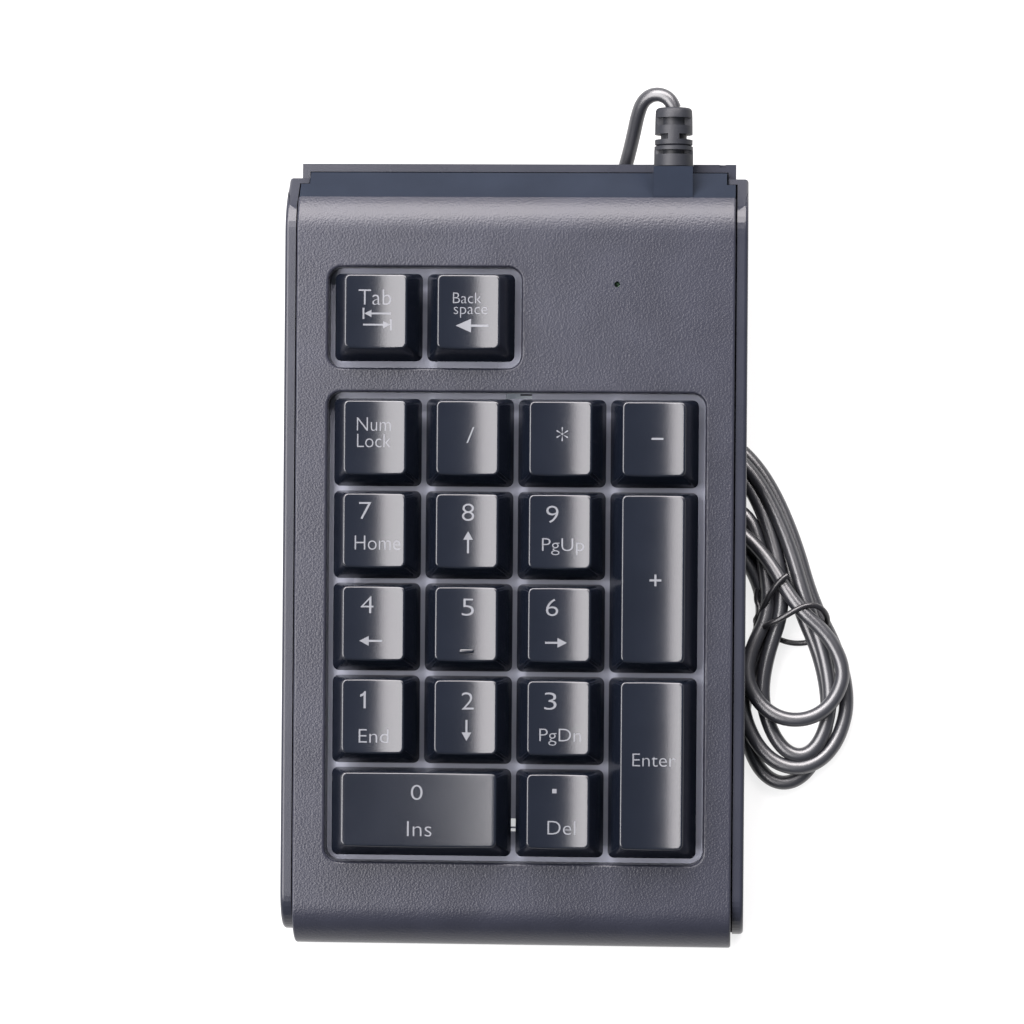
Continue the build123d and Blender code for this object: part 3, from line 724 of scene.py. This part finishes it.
@dataclass
class Legend:
    """Print on a key's top, laid on its dish.

    Args:
        cap: The key that it is printed on.
        marks: What is printed, placed from the centre of the key's top.
    """

    cap: KeyCap
    marks: Sequence[Mark]
    sink: float = 0.03
    proud: float = 0.03
    slice_w: float = 0.8

    def build(self) -> bpy.types.Object:
        """Make the print and put it on the key's body.

        Returns:
            The print's object.
        """
        built = bmesh.new()
        for mark in self.marks:
            if isinstance(mark, Word):
                self._word(built, mark)
            elif isinstance(mark, Arrow):
                self._arrow(built, mark)
            elif isinstance(mark, Numeral):
                self._plate(built, mark.outline())
            else:
                x, y, w, h = mark.x, mark.y, mark.width / 2, mark.height / 2
                self._plate(built, [(x - w, y - h), (x + w, y - h), (x + w, y + h), (x - w, y + h)])
        bmesh.ops.remove_doubles(built, verts=built.verts, dist=0.0005)
        self._slice(built)
        for point in built.verts:
            lift = self.proud if point.co.z > 0 else -self.sink
            point.co.z = self.cap.top_z(point.co.x) + lift
        place = self.cap.place() @ Matrix.Translation((0, CAP_SHIFT, 0))
        made = piece_from(self.cap.name.replace("key_", "legend_"), built, place)
        dress(made, PRINT)
        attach(made, self.cap.name)
        return made

    def _slice(self, built: bmesh.types.BMesh) -> None:
        """Cut the print across so that it can follow the dish."""
        reach = self.cap.top_size()[0] / 2
        steps = int(reach / self.slice_w)
        for step in range(-steps, steps + 1):
            parts = [*built.verts, *built.edges, *built.faces]
            cut = (step * self.slice_w + 0.013, 0, 0)
            bmesh.ops.bisect_plane(built, geom=parts, plane_co=cut, plane_no=(1, 0, 0))

    def _word(self, built: bmesh.types.BMesh, word: Word) -> None:
        """Add text, scaled to its printed size."""
        capital = text_mesh("H")
        unit = max(v.co.y for v in capital.vertices)
        mesh = text_mesh(word.text)
        left = min(v.co.x for v in mesh.vertices)
        right = max(v.co.x for v in mesh.vertices)
        wide = word.width / (right - left)
        tall = word.height / unit
        for point in mesh.vertices:
            point.co.x = (point.co.x - (left + right) / 2) * wide + word.x
            point.co.y = point.co.y * tall + word.base
        built.from_mesh(mesh)
        bpy.data.meshes.remove(capital)
        bpy.data.meshes.remove(mesh)

    def _arrow(self, built: bmesh.types.BMesh, arrow: Arrow) -> None:
        """Add an arrow and its stop."""
        tail, tip = Vector(arrow.tail), Vector(arrow.tip)
        along = (tip - tail).normalized()
        across = Vector((-along.y, along.x))
        neck = tip - along * arrow.head
        shaft = across * arrow.shaft / 2
        wing = across * arrow.half
        joint = neck + along * 0.02
        self._plate(built, [tail - shaft, joint - shaft, joint + shaft, tail + shaft])
        self._plate(built, [neck - wing, tip, neck + wing])
        if arrow.stop:
            bar = across * arrow.stop / 2
            edge = tip + along * arrow.shaft
            self._plate(built, [tip - bar, edge - bar, edge + bar, tip + bar])

    def _plate(self, built: bmesh.types.BMesh, outline: Sequence[Sequence[float]]) -> None:
        """Add a closed plate with this outline."""
        low = [built.verts.new((p[0], p[1], -0.5)) for p in outline]
        high = [built.verts.new((p[0], p[1], 0.5)) for p in outline]
        bridge(built, [low, high])
        built.faces.new(low[::-1])
        built.faces.new(high)


def text_mesh(text: str) -> bpy.types.Mesh:
    """Closed mesh of a text, one unit thick.

    Args:
        text: What it says.

    Returns:
        The mesh, with its baseline on y 0.
    """
    curve = bpy.data.curves.new("type", "FONT")
    curve.body = text
    curve.extrude = 0.5
    curve.offset = -0.012
    curve.resolution_u = 4
    holder = link("type", curve)
    bpy.context.view_layer.update()
    mesh = bpy.data.meshes.new_from_object(holder.evaluated_get(bpy.context.evaluated_depsgraph_get()))
    bpy.data.objects.remove(holder)
    bpy.data.curves.remove(curve)
    return mesh


def up_arrow(x: float, low: float, high: float) -> Arrow:
    """Arrow of a number key that points to the rear."""
    return Arrow((x, low), (x, high), 1.75, 1.0)


@dataclass
class KeyField:
    """All the keys with their print."""

    def caps(self) -> list[tuple[KeyCap, list[Mark]]]:
        """Every key and what is printed on it."""
        return [*self._top_row(), *self._number_block(), *self._operators()]

    def _top_row(self) -> list[tuple[KeyCap, list[Mark]]]:
        """The two keys behind the number block."""
        tab = [
            Word("Tab", 3.15, 6.7, -0.2, 1.26),
            Arrow((3.1, -0.5), (-2.35, -0.5), 1.45, 0.75, 0.36, 2.3),
            Arrow((-2.6, -2.8), (2.95, -2.8), 1.45, 0.75, 0.36, 2.3),
        ]
        backspace = [
            Word("Back", 2.2, 5.8, -0.33, 1.65),
            Word("space", 2.2, 6.9, 0.4, -0.55),
            Arrow((4.1, -2.9), (-2.64, -2.9), 3.15, 1.4, 0.45),
        ]
        return [
            (KeyCap("key_tab", column(1), ROW_TOP), tab),
            (KeyCap("key_backspace", column(2), ROW_TOP), backspace),
        ]

    def _number_block(self) -> list[tuple[KeyCap, list[Mark]]]:
        """The ten digits and the decimal key."""
        homing = [Word("5", 3.5, 2.5, 0.3, 1.65)]
        left = Arrow((1.8, -3.66), (-2.9, -3.66), 1.96, 1.0)
        right = Arrow((-2.9, -3.7), (1.6, -3.7), 1.96, 1.0)
        marks = {
            "key_7": (1, 3, [Word("7", 3.5, 2.5, -1.87, 2.2), Word("Home", 2.9, 9.4, 0.73, -4.06)]),
            "key_8": (2, 3, [Word("8", 3.5, 2.5, 0.2, 2.0), up_arrow(0.24, -4.6, -0.1)]),
            "key_9": (3, 3, [Word("9", 3.5, 2.5, -1.6, 1.7), Word("PgUp", 2.6, 8.6, 0.65, -4.0)]),
            "key_4": (1, 2, [Word("4", 3.5, 2.6, -1.33, 1.96), left]),
            "key_5": (2, 2, homing),
            "key_6": (3, 2, [Word("6", 3.5, 2.5, -1.5, 1.74), right]),
            "key_1": (1, 1, [Numeral(-1.9, 1.57), Word("End", 2.8, 6.1, 0.2, -5.5)]),
            "key_2": (2, 1, [Word("2", 3.5, 2.5, 0.4, 1.5), up_arrow(0.2, -0.6, -4.9)]),
            "key_3": (3, 1, [Word("3", 3.5, 2.5, -1.7, 1.64), Word("PgDn", 2.6, 8.5, 0.35, -4.8)]),
            "key_decimal": (3, 0, [Dash(-0.75, 4.1, 0.9, 0.9), Word("Del", 2.8, 5.7, 0.75, -4.8)]),
        }
        caps = [(KeyCap(name, column(c), row(r)), print_) for name, (c, r, print_) in marks.items()]
        zero = [Word("0", 3.06, 2.4, -0.37, 1.96), Word("Ins", 3.1, 5.05, 0.2, -5.5)]
        caps.append((KeyCap("key_0", column(1.5), row(0), extra_w=PITCH), zero))
        return caps

    def _operators(self) -> list[tuple[KeyCap, list[Mark]]]:
        """The keys behind and to the right of the digits."""
        num = [Word("Num", 2.75, 7.0, -0.2, 1.24), Word("Lock", 2.75, 6.9, -0.2, -2.14)]
        return [
            (KeyCap("key_num_lock", column(1), row(4)), num),
            (KeyCap("key_divide", column(2), row(4)), [Word("/", 3.2, 1.6, 0.55, -1.1)]),
            (KeyCap("key_multiply", column(3), row(4)), [Word("*", 4.6, 2.4, 0.3, -2.6)]),
            (KeyCap("key_minus", column(4), row(4)), [Dash(0.7, 0, 2.4, 0.42)]),
            (
                KeyCap("key_plus", column(4), row(2.5), extra_l=PITCH),
                [Dash(0.5, -0.3, 2.4, 0.42), Dash(0.5, -0.3, 0.42, 2.4)],
            ),
            (KeyCap("key_enter", column(4), row(0.5), extra_l=PITCH), [Word("Enter", 2.65, 8.8, 0.5, -0.2)]),
        ]

    def build(self) -> None:
        """Make every key and its print."""
        for cap, marks in self.caps():
            cap.build()
            Legend(cap, marks).build()


# Housing


@dataclass
class Housing:
    """Case, key bed, feet and what shows of the electronics."""

    screw_head: float = 2.4
    screw_spots: tuple[Point, ...] = ((-30.0, 9.5), (30.0, 9.5), (22.0, 118.6), (-40.8, 147.0), (40.8, 147.0))

    def build(self) -> None:
        """Dress the housing's pieces."""
        moulded = (
            ("top_cover", "cover", "case", COVER, "cover_textured"),
            ("base_shell", "base", "case", SHELL, "shell_smooth"),
            ("key_bed", "bed", "case", BED, "bed_grey"),
            ("dome_sheet", "domes", "case", SILICONE, "silicone_white"),
            ("front_pads", "pads", "case", RUBBER, "rubber_black"),
            ("status_led", "lamp", "case", LAMP, "lamp_clear"),
            ("inner_leads", "leads", "case", LEAD, "lead_insulation"),
            ("flip_foot_left", "foot_left", "flip_foot_left", SHELL, "shell_smooth"),
            ("flip_foot_right", "foot_right", "flip_foot_right", SHELL, "shell_smooth"),
            ("stabiliser_plus", "bar_plus", "stabiliser_plus", WIRE, "wire_steel"),
            ("stabiliser_enter", "bar_enter", "stabiliser_enter", WIRE, "wire_steel"),
            ("stabiliser_0", "bar_0", "stabiliser_0", WIRE, "wire_steel"),
        )
        for node, name, body, finish, slot in moulded:
            smoothed_copy(node, name, body, finish)
        plain = {
            "rear_panel": PANEL,
            "membrane_sheet": FILM,
            "controller_board": BOARD,
            "controller_chip": CHIP,
            "cable_connector": CONNECTOR,
            "pressure_bar": BAR,
            "board_screws": SCREW,
            "rating_label": LABEL,
            "foot_tip_left": RUBBER,
            "foot_tip_right": RUBBER,
        }
        for node, finish in plain.items():
            dress(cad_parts[node], finish)
        self._screws()

    def _screws(self) -> None:
        """Case screws with crossed recesses, all from one tree."""
        kit = TreeKit("screws")
        head_r = kit.size("Head Radius", 2.4)
        head_h = kit.size("Head Height", 1.8)
        shank_r = kit.size("Shank Radius", 1.3)
        shank_l = kit.size("Shank Length", 7.6)
        slot_w = kit.size("Slot Width", 0.6)
        slot_l = kit.size("Slot Length", 3.2)
        head = kit.add("GeometryNodeMeshCylinder", Vertices=32, Radius=head_r, Depth=head_h)
        cutters = []
        for size in ((slot_l, slot_w), (slot_w, slot_l)):
            block = kit.add("GeometryNodeMeshCube", Size=kit.vector(size[0], size[1], head_h))
            drop = kit.vector(z=kit.maths("MULTIPLY", head_h, -0.5))
            moved = kit.add("GeometryNodeTransform", Geometry=block.outputs["Mesh"], Translation=drop)
            cutters.append(moved.outputs["Geometry"])
        cut = kit.tree.nodes.new("GeometryNodeMeshBoolean")
        cut.operation = "DIFFERENCE"
        kit.tree.links.new(head.outputs["Mesh"], cut.inputs["Mesh 1"])
        for cutter in cutters:
            kit.tree.links.new(cutter, cut.inputs["Mesh 2"])
        shank = kit.add("GeometryNodeMeshCylinder", Vertices=20, Radius=shank_r, Depth=shank_l)
        rise = kit.vector(z=kit.maths("MULTIPLY", kit.maths("ADD", head_h, shank_l), 0.49))
        raised = kit.add("GeometryNodeTransform", Geometry=shank.outputs["Mesh"], Translation=rise)
        screw = kit.join(cut.outputs["Mesh"], raised.outputs["Geometry"])
        spots = kit.entry.outputs["Geometry"]
        placed = kit.add("GeometryNodeInstanceOnPoints", Points=spots, Instance=screw)
        kit.finish(placed.outputs["Instances"], SCREW)
        seeds = [(x, y, 3.1) for x, y in self.screw_spots]
        made = kit.make("screws", seeds, HOUSING, Head_Radius=self.screw_head)
        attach(made, "case")
        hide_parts("case_screws")
        log.info("screws: %d faces", len(made.data.polygons))


# Cord


@dataclass(frozen=True)
class HankTurn:
    """One turn of the tied hank.

    Args:
        lower_end: Where its lower loop ends, in the row frame, in millimetres.
        lower_half: Half the width of that loop.
        upper_end: Where its upper loop ends.
        upper_half: How far to the right its down and up strands are there.
        right: Place across the waist and height of the strand that runs down.
        left: Place across the waist and height of the strand that runs up.
        lower_z: Height of the lower loop's right side, end and left side.
        upper_z: Height of the upper loop's down and up strands.
    """

    lower_end: Point
    lower_half: float
    upper_end: Point
    upper_half: Point
    right: Point
    left: Point
    lower_z: tuple[float, float, float]
    upper_z: Point


@dataclass
class Cord:
    """Lead, tied hank, tie, strain relief and plug.

    Args:
        radius: Radius of the cord.
        length: Its whole length, in metres; not used.
        waist: Middle of the tied waist, in millimetres.
        lead_in: Points from the strain relief to the hank, in metres.
        lead_out: Points from the hank to the plug, in metres.
        turns: The hank's turns.
        turn_points: Points of each turn.
        tie_lean: Slope of the tie across the waist.
        tie_radius: Radius of the tie's wire.
        open_span: Share of a half turn over which its strands part.
        late_start: Share after which a crossing strand parts.
        late_span: Share over which it does.
        lean_rate: How fast a strand leaves the slope of the tie.
        lift_rate: How fast it leaves the height of the waist.
        upper_power: Squareness of a turn's upper end.
        lower_power: Squareness of its lower end.
        gather_span: Share over which crossing strands draw in.
        gather_low: How far the lower strands draw in behind the waist.
        gather_high: The same for those above them.
        layer_z: Height that parts lower strands from upper ones.
        relief_core: Radius of the strain relief's core.
        relief_steps: Corners of each ring of its sleeve.
        web_across: Half the height of the web at a slot across the sleeve.
        web_beside: Half the width of the web at a slot beside the core.
        tie_line: Points of the tie, in millimetres.
        sleeve: Place along the housing, radius and slot of each ring of the sleeve.
    """

    radius: float = 1.5
    length: float = 0.75
    waist: Point = (57.2, -10.2)
    lead_in: tuple[tuple[float, float, float], ...] = (
        (0.03195, 0.09316, 0.02045), (0.03098, 0.09443, 0.0205), (0.02924, 0.09524, 0.0203),
        (0.0272, 0.09503, 0.0196), (0.02557, 0.09372, 0.0184), (0.0246, 0.0912, 0.0163),
        (0.0238, 0.0880, 0.0134), (0.0226, 0.0838, 0.0098), (0.0210, 0.0786, 0.0074),
        (0.0186, 0.0728, 0.0054), (0.0166, 0.0652, 0.0032), (0.0154, 0.0542, 0.0016),
        (0.0170, 0.0448, 0.0016), (0.0230, 0.0384, 0.0016), (0.0294, 0.0340, 0.0016),
        (0.0342, 0.0284, 0.0016),
    )
    lead_out: tuple[tuple[float, float, float], ...] = (
        (0.0330, 0.0126, 0.0016), (0.0298, 0.0188, 0.0016),
        (0.0246, 0.0236, 0.0024), (0.0170, 0.0254, 0.0035),
    )
    turns: tuple[HankTurn, ...] = (
        HankTurn(
            (56.0, -47.4), 9.8, (37.4, 21.4), (7.2, -8.2),
            (1.7, 2.7), (-1.6, 2.7), (1.6, 1.6, 1.6), (1.6, 1.6),
        ),
        HankTurn(
            (59.2, -44.2), 12.0, (36.2, 25.4), (9.7, -10.8),
            (4.8, 2.7), (-4.8, 2.7), (2.4, 4.6, 4.4), (1.6, 4.6),
        ),
        HankTurn(
            (59.6, -41.6), 7.8, (36.6, 23.8), (8.2, 6.0),
            (3.4, 5.7), (-1.2, 5.7), (4.6, 4.6, 4.6), (4.5, 3.4),
        ),
        HankTurn(
            (59.2, -34.2), 11.0, (37.0, 23.4), (-6.2, 3.0),
            (0.8, 8.2), (-4.2, 5.7), (7.4, 7.6, 7.2), (5.0, 3.2),
        ),
    )
    turn_points: int = 20
    sleeve: tuple[tuple[float, float, str], ...] = (
        (160.60, 3.90, ""), (160.80, 4.08, ""), (163.20, 4.05, ""), (163.22, 4.05, "across"),
        (164.10, 4.05, "across"), (164.12, 4.03, ""), (164.90, 4.00, ""), (165.10, 3.55, ""),
        (165.30, 3.90, ""), (166.30, 3.92, ""), (166.32, 3.92, "beside"), (167.40, 3.92, "beside"),
        (167.42, 3.92, ""), (169.20, 3.90, ""), (169.22, 3.90, "across"), (170.80, 3.87, "across"),
        (170.82, 3.87, ""), (172.30, 3.80, ""), (172.70, 3.62, ""), (172.90, 3.30, ""),
    )
    tie_lean: float = radians(14)
    tie_radius: float = 0.6
    open_span: float = 0.5
    late_start: float = 0.3
    late_span: float = 0.6
    lean_rate: float = 1.6
    lift_rate: float = 1.8
    upper_power: int = 6
    lower_power: int = 4
    gather_span: float = 0.55
    gather_low: float = 2.6
    gather_high: float = 0.4
    layer_z: float = 3.0
    relief_core: float = 2.7
    relief_steps: int = 96
    web_across: float = 1.6
    web_beside: float = 1.2
    tie_line: tuple[tuple[float, float, float], ...] = (
        (56.6, -4.0, 9.6), (54.9, -5.0, 9.9), (52.6, -8.4, 8.2), (50.9, -12.0, 5.4),
        (49.9, -14.4, 4.4), (50.9, -15.3, 5.6), (52.6, -14.2, 8.4), (55.4, -13.0, 9.4),
        (58.6, -11.0, 9.7), (61.2, -9.9, 9.2), (63.8, -10.6, 8.0), (65.2, -12.6, 5.4),
        (64.8, -15.2, 2.4), (62.2, -17.4, 0.7), (58.0, -17.9, 0.5), (54.0, -16.6, 0.7),
        (51.2, -14.8, 2.2), (49.8, -13.4, 4.2), (50.6, -12.2, 5.4), (50.9, -10.6, 4.8),
        (50.0, -8.6, 4.4), (50.4, -6.6, 4.8),
    )

    def build(self) -> None:
        """Make the cord with everything on it."""
        relief = self._relief()
        tie = self._tie()
        plug = self._plug()
        line = self._line()
        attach(line, "case")
        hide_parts("cord_lead_in", "cord_hank", "cord_lead_out")
        log.info("%s, %s and %s made", relief.name, tie.name, line.name)

    def route(self) -> list[Vector]:
        """Control points of the whole cord, in metres."""
        start = HOUSING @ Vector(OUTLET)
        coil = [Vector(p) * MM for p in self.hank_points()]
        return [start, *(Vector(p) for p in self.lead_in), *coil, *(Vector(p) for p in self.lead_out)]

    def hank_points(self) -> list[Vector]:
        """Points of the hank's turns, in millimetres."""
        points = []
        for index, turn in enumerate(self.turns):
            first = 2 if index == 0 else 0
            last = self.turn_points - 2 if index == len(self.turns) - 1 else self.turn_points
            for step in range(first, last):
                points.append(self._turn_point(turn, 2 * pi * step / self.turn_points))
        return points

    def _turn_point(self, turn: HankTurn, angle: float) -> Vector:
        """Point of one turn.

        Args:
            turn: The turn's sizes.
            angle: 0 at the upper end, then down the right strand to pi at the lower end.

        Returns:
            The point, in millimetres.
        """
        upper = cos(angle) > 0
        end = Vector(turn.upper_end if upper else turn.lower_end)
        start = Vector(self.waist)
        reach = abs(cos(angle))
        along = end - start
        rightward = Vector((along.y, -along.x)).normalized()
        if rightward.x < 0:
            rightward.negate()
        tied = Vector((cos(self.tie_lean), sin(self.tie_lean)))
        across = tied.lerp(rightward, smooth(reach * self.lean_rate)).normalized()
        down = angle < pi
        side_w, side_z = turn.right if down else turn.left
        if upper:
            side = turn.upper_half[0 if down else 1]
            late = side < 0
        else:
            side = turn.lower_half if down else -turn.lower_half
            late = False
        parting = (reach - self.late_start) / self.late_span if late else reach / self.open_span
        opened = smooth(parting)
        power = self.upper_power if upper else self.lower_power
        offset = mix(side_w, side * (1 - min(reach, 1.0) ** power) ** 0.5, opened)
        if late:
            gather = self.gather_low if side_z < self.layer_z else self.gather_high
            offset += gather * sin(pi * min(reach / self.gather_span, 1.0))
        side_height = turn.lower_z[0 if down else 2]
        lower_z = mix(side_height, turn.lower_z[1], reach**4)
        lobe_z = turn.upper_z[0 if down else 1] if upper else lower_z
        height = mix(side_z, lobe_z, smooth(reach * self.lift_rate))
        flat = start + along * reach + across * offset
        return Vector((flat.x, flat.y, height))

    def _line(self) -> bpy.types.Object:
        """The cord as one smooth spline with a round section."""
        made = link("cord", round_line("cord", self.route(), self.radius * MM, sides=5, runs=8))
        made.data.materials.append(CORD.material())
        return made

    def _relief(self) -> bpy.types.Object:
        """Moulded strain relief: a round sleeve with slots across and beside its core."""
        built = bmesh.new()
        rings = []
        for along, radius, slot in self.sleeve:
            ring = []
            for step in range(self.relief_steps):
                angle = 2 * pi * (step + 0.5) / self.relief_steps
                reach = radius
                if slot == "across":
                    reach = min(radius, self.web_across / abs(sin(angle)))
                elif slot == "beside":
                    reach = min(radius, self.web_beside / abs(cos(angle)))
                reach = max(self.relief_core, reach)
                ring.append(built.verts.new((reach * cos(angle), along, -reach * sin(angle))))
            rings.append(ring)
        bridge(built, rings)
        built.faces.new(rings[0][::-1])
        built.faces.new(rings[-1])
        made = piece_from("relief", built, HOUSING @ Matrix.Translation((OUTLET[0], 0, OUTLET[2])))
        dress(made, RELIEF)
        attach(made, "case")
        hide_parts("strain_relief")
        return made

    def _tie(self) -> bpy.types.Object:
        """Twist tie: a turn of thin coated wire round the waist, a twisted knot and two tails."""
        route = [Vector(p) for p in self.tie_line]
        holder = link("tie_line", round_line("tie_line", route, self.tie_radius, sides=3, runs=6))
        bpy.context.view_layer.update()
        mesh = bpy.data.meshes.new_from_object(holder.evaluated_get(bpy.context.evaluated_depsgraph_get()))
        bpy.data.objects.remove(holder)
        mesh.name = "tie"
        mesh.transform(DESK)
        mesh.shade_smooth()
        made = link("tie", mesh)
        dress(made, TIE)
        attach(made, "case")
        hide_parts("twist_tie")
        return made

    def _plug(self) -> bpy.types.Object:
        """Dress the plug."""
        dress(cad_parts["plug_shell"], PLUG_METAL)
        dress(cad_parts["plug_tongue"], TONGUE)
        return smoothed_copy("plug_body", "plug", "case", PLUG)


# Studio


@dataclass(frozen=True)
class Softbox:
    """Rectangular light.

    Args:
        name: The light's name.
        spot: Its centre, in metres.
        aim: The point that it faces.
        width: Its size across.
        height: Its other size.
        radiance: Brightness of its face.
        tint: Colour of its light.
    """

    name: str
    spot: tuple[float, float, float]
    aim: tuple[float, float, float]
    width: float
    height: float
    radiance: float
    tint: Colour = (1.0, 1.0, 1.0)

    def build(self) -> None:
        """Add the light to the scene."""
        lamp = bpy.data.lights.new(self.name, "AREA")
        lamp.shape = "RECTANGLE"
        lamp.size = self.width
        lamp.size_y = self.height
        lamp.color = self.tint
        lamp.energy = self.radiance * pi * self.width * self.height
        holder = link(self.name, lamp)
        holder.location = self.spot
        holder.rotation_euler = (Vector(self.aim) - Vector(self.spot)).to_track_quat("-Z", "Y").to_euler()


@dataclass
class Studio:
    """Floor, lights and camera."""

    centre: tuple[float, float, float] = (0.1, 88.9, 21.2)
    distance: float = 0.8
    lean: float = 3.25
    roll: float = 0.44
    lens: float = 137.7
    boxes: tuple[Softbox, ...] = field(
        default=(
            Softbox("key_light", (-0.62, 0.05, 1.02), (-0.05, 0.0, 0.0), 1.7, 0.9, 12.0, (1.0, 0.965, 0.975)),
            Softbox("rear_light", (0.0, 0.95, 0.85), (0.0, 0.0, 0.0), 1.6, 0.8, 17.0, (1.0, 0.945, 0.95)),
        )
    )

    def build(self) -> None:
        """Set up the studio."""
        self._floor()
        self._world()
        for box in self.boxes:
            box.build()
        self._camera()
        bpy.context.scene.view_settings.view_transform = "Standard"
        log.info("studio ready")

    def _floor(self) -> None:
        """Pale floor, bright enough to read as white paper."""
        built = bmesh.new()
        bmesh.ops.create_grid(built, x_segments=1, y_segments=1, size=3.0)
        mesh = bpy.data.meshes.new("floor")
        built.to_mesh(mesh)
        built.free()
        paper = bpy.data.materials.new("floor_paper")
        paper.use_nodes = True
        shader = paper.node_tree.nodes["Principled BSDF"]
        shader.inputs["Base Color"].default_value = (0.14, 0.14, 0.14, 1)
        shader.inputs["Roughness"].default_value = 0.9
        shader.inputs["Emission Color"].default_value = (1, 1, 1, 1)
        shader.inputs["Emission Strength"].default_value = 0.8
        mesh.materials.append(paper)
        link("floor", mesh)

    def _world(self) -> None:
        """Dim even surroundings."""
        world = bpy.data.worlds.new("surroundings")
        world.use_nodes = True
        back = world.node_tree.nodes["Background"]
        back.inputs["Color"].default_value = (0.86, 0.91, 1.0, 1)
        back.inputs["Strength"].default_value = 0.26
        bpy.context.scene.world = world

    def _camera(self) -> None:
        """Camera square to the deck, leaning a little to the right."""
        lens = bpy.data.cameras.new("camera")
        lens.lens = self.lens
        lens.sensor_width = 36.0
        lens.clip_end = 20
        target = HOUSING @ Vector(self.centre)
        across = Vector((1, 0, 0))
        up = Vector((0, -sin(TILT), cos(TILT)))
        lean = radians(self.lean)
        back = across * sin(lean) + up * cos(lean)
        rear = Vector((0, cos(TILT), sin(TILT)))
        right = rear.cross(back).normalized()
        top = back.cross(right).normalized()
        turn = Matrix((right, top, back)).transposed().to_4x4()
        turn = turn @ Matrix.Rotation(radians(self.roll), 4, "Z")
        holder = link("camera", lens)
        holder.matrix_world = Matrix.Translation(target + back * self.distance) @ turn
        bpy.context.scene.camera = holder


def main() -> None:
    """Build every piece in order."""
    Studio().build()
    Cord().build()
    Housing().build()
    KeyField().build()


if __name__ == "__main__":
    main()
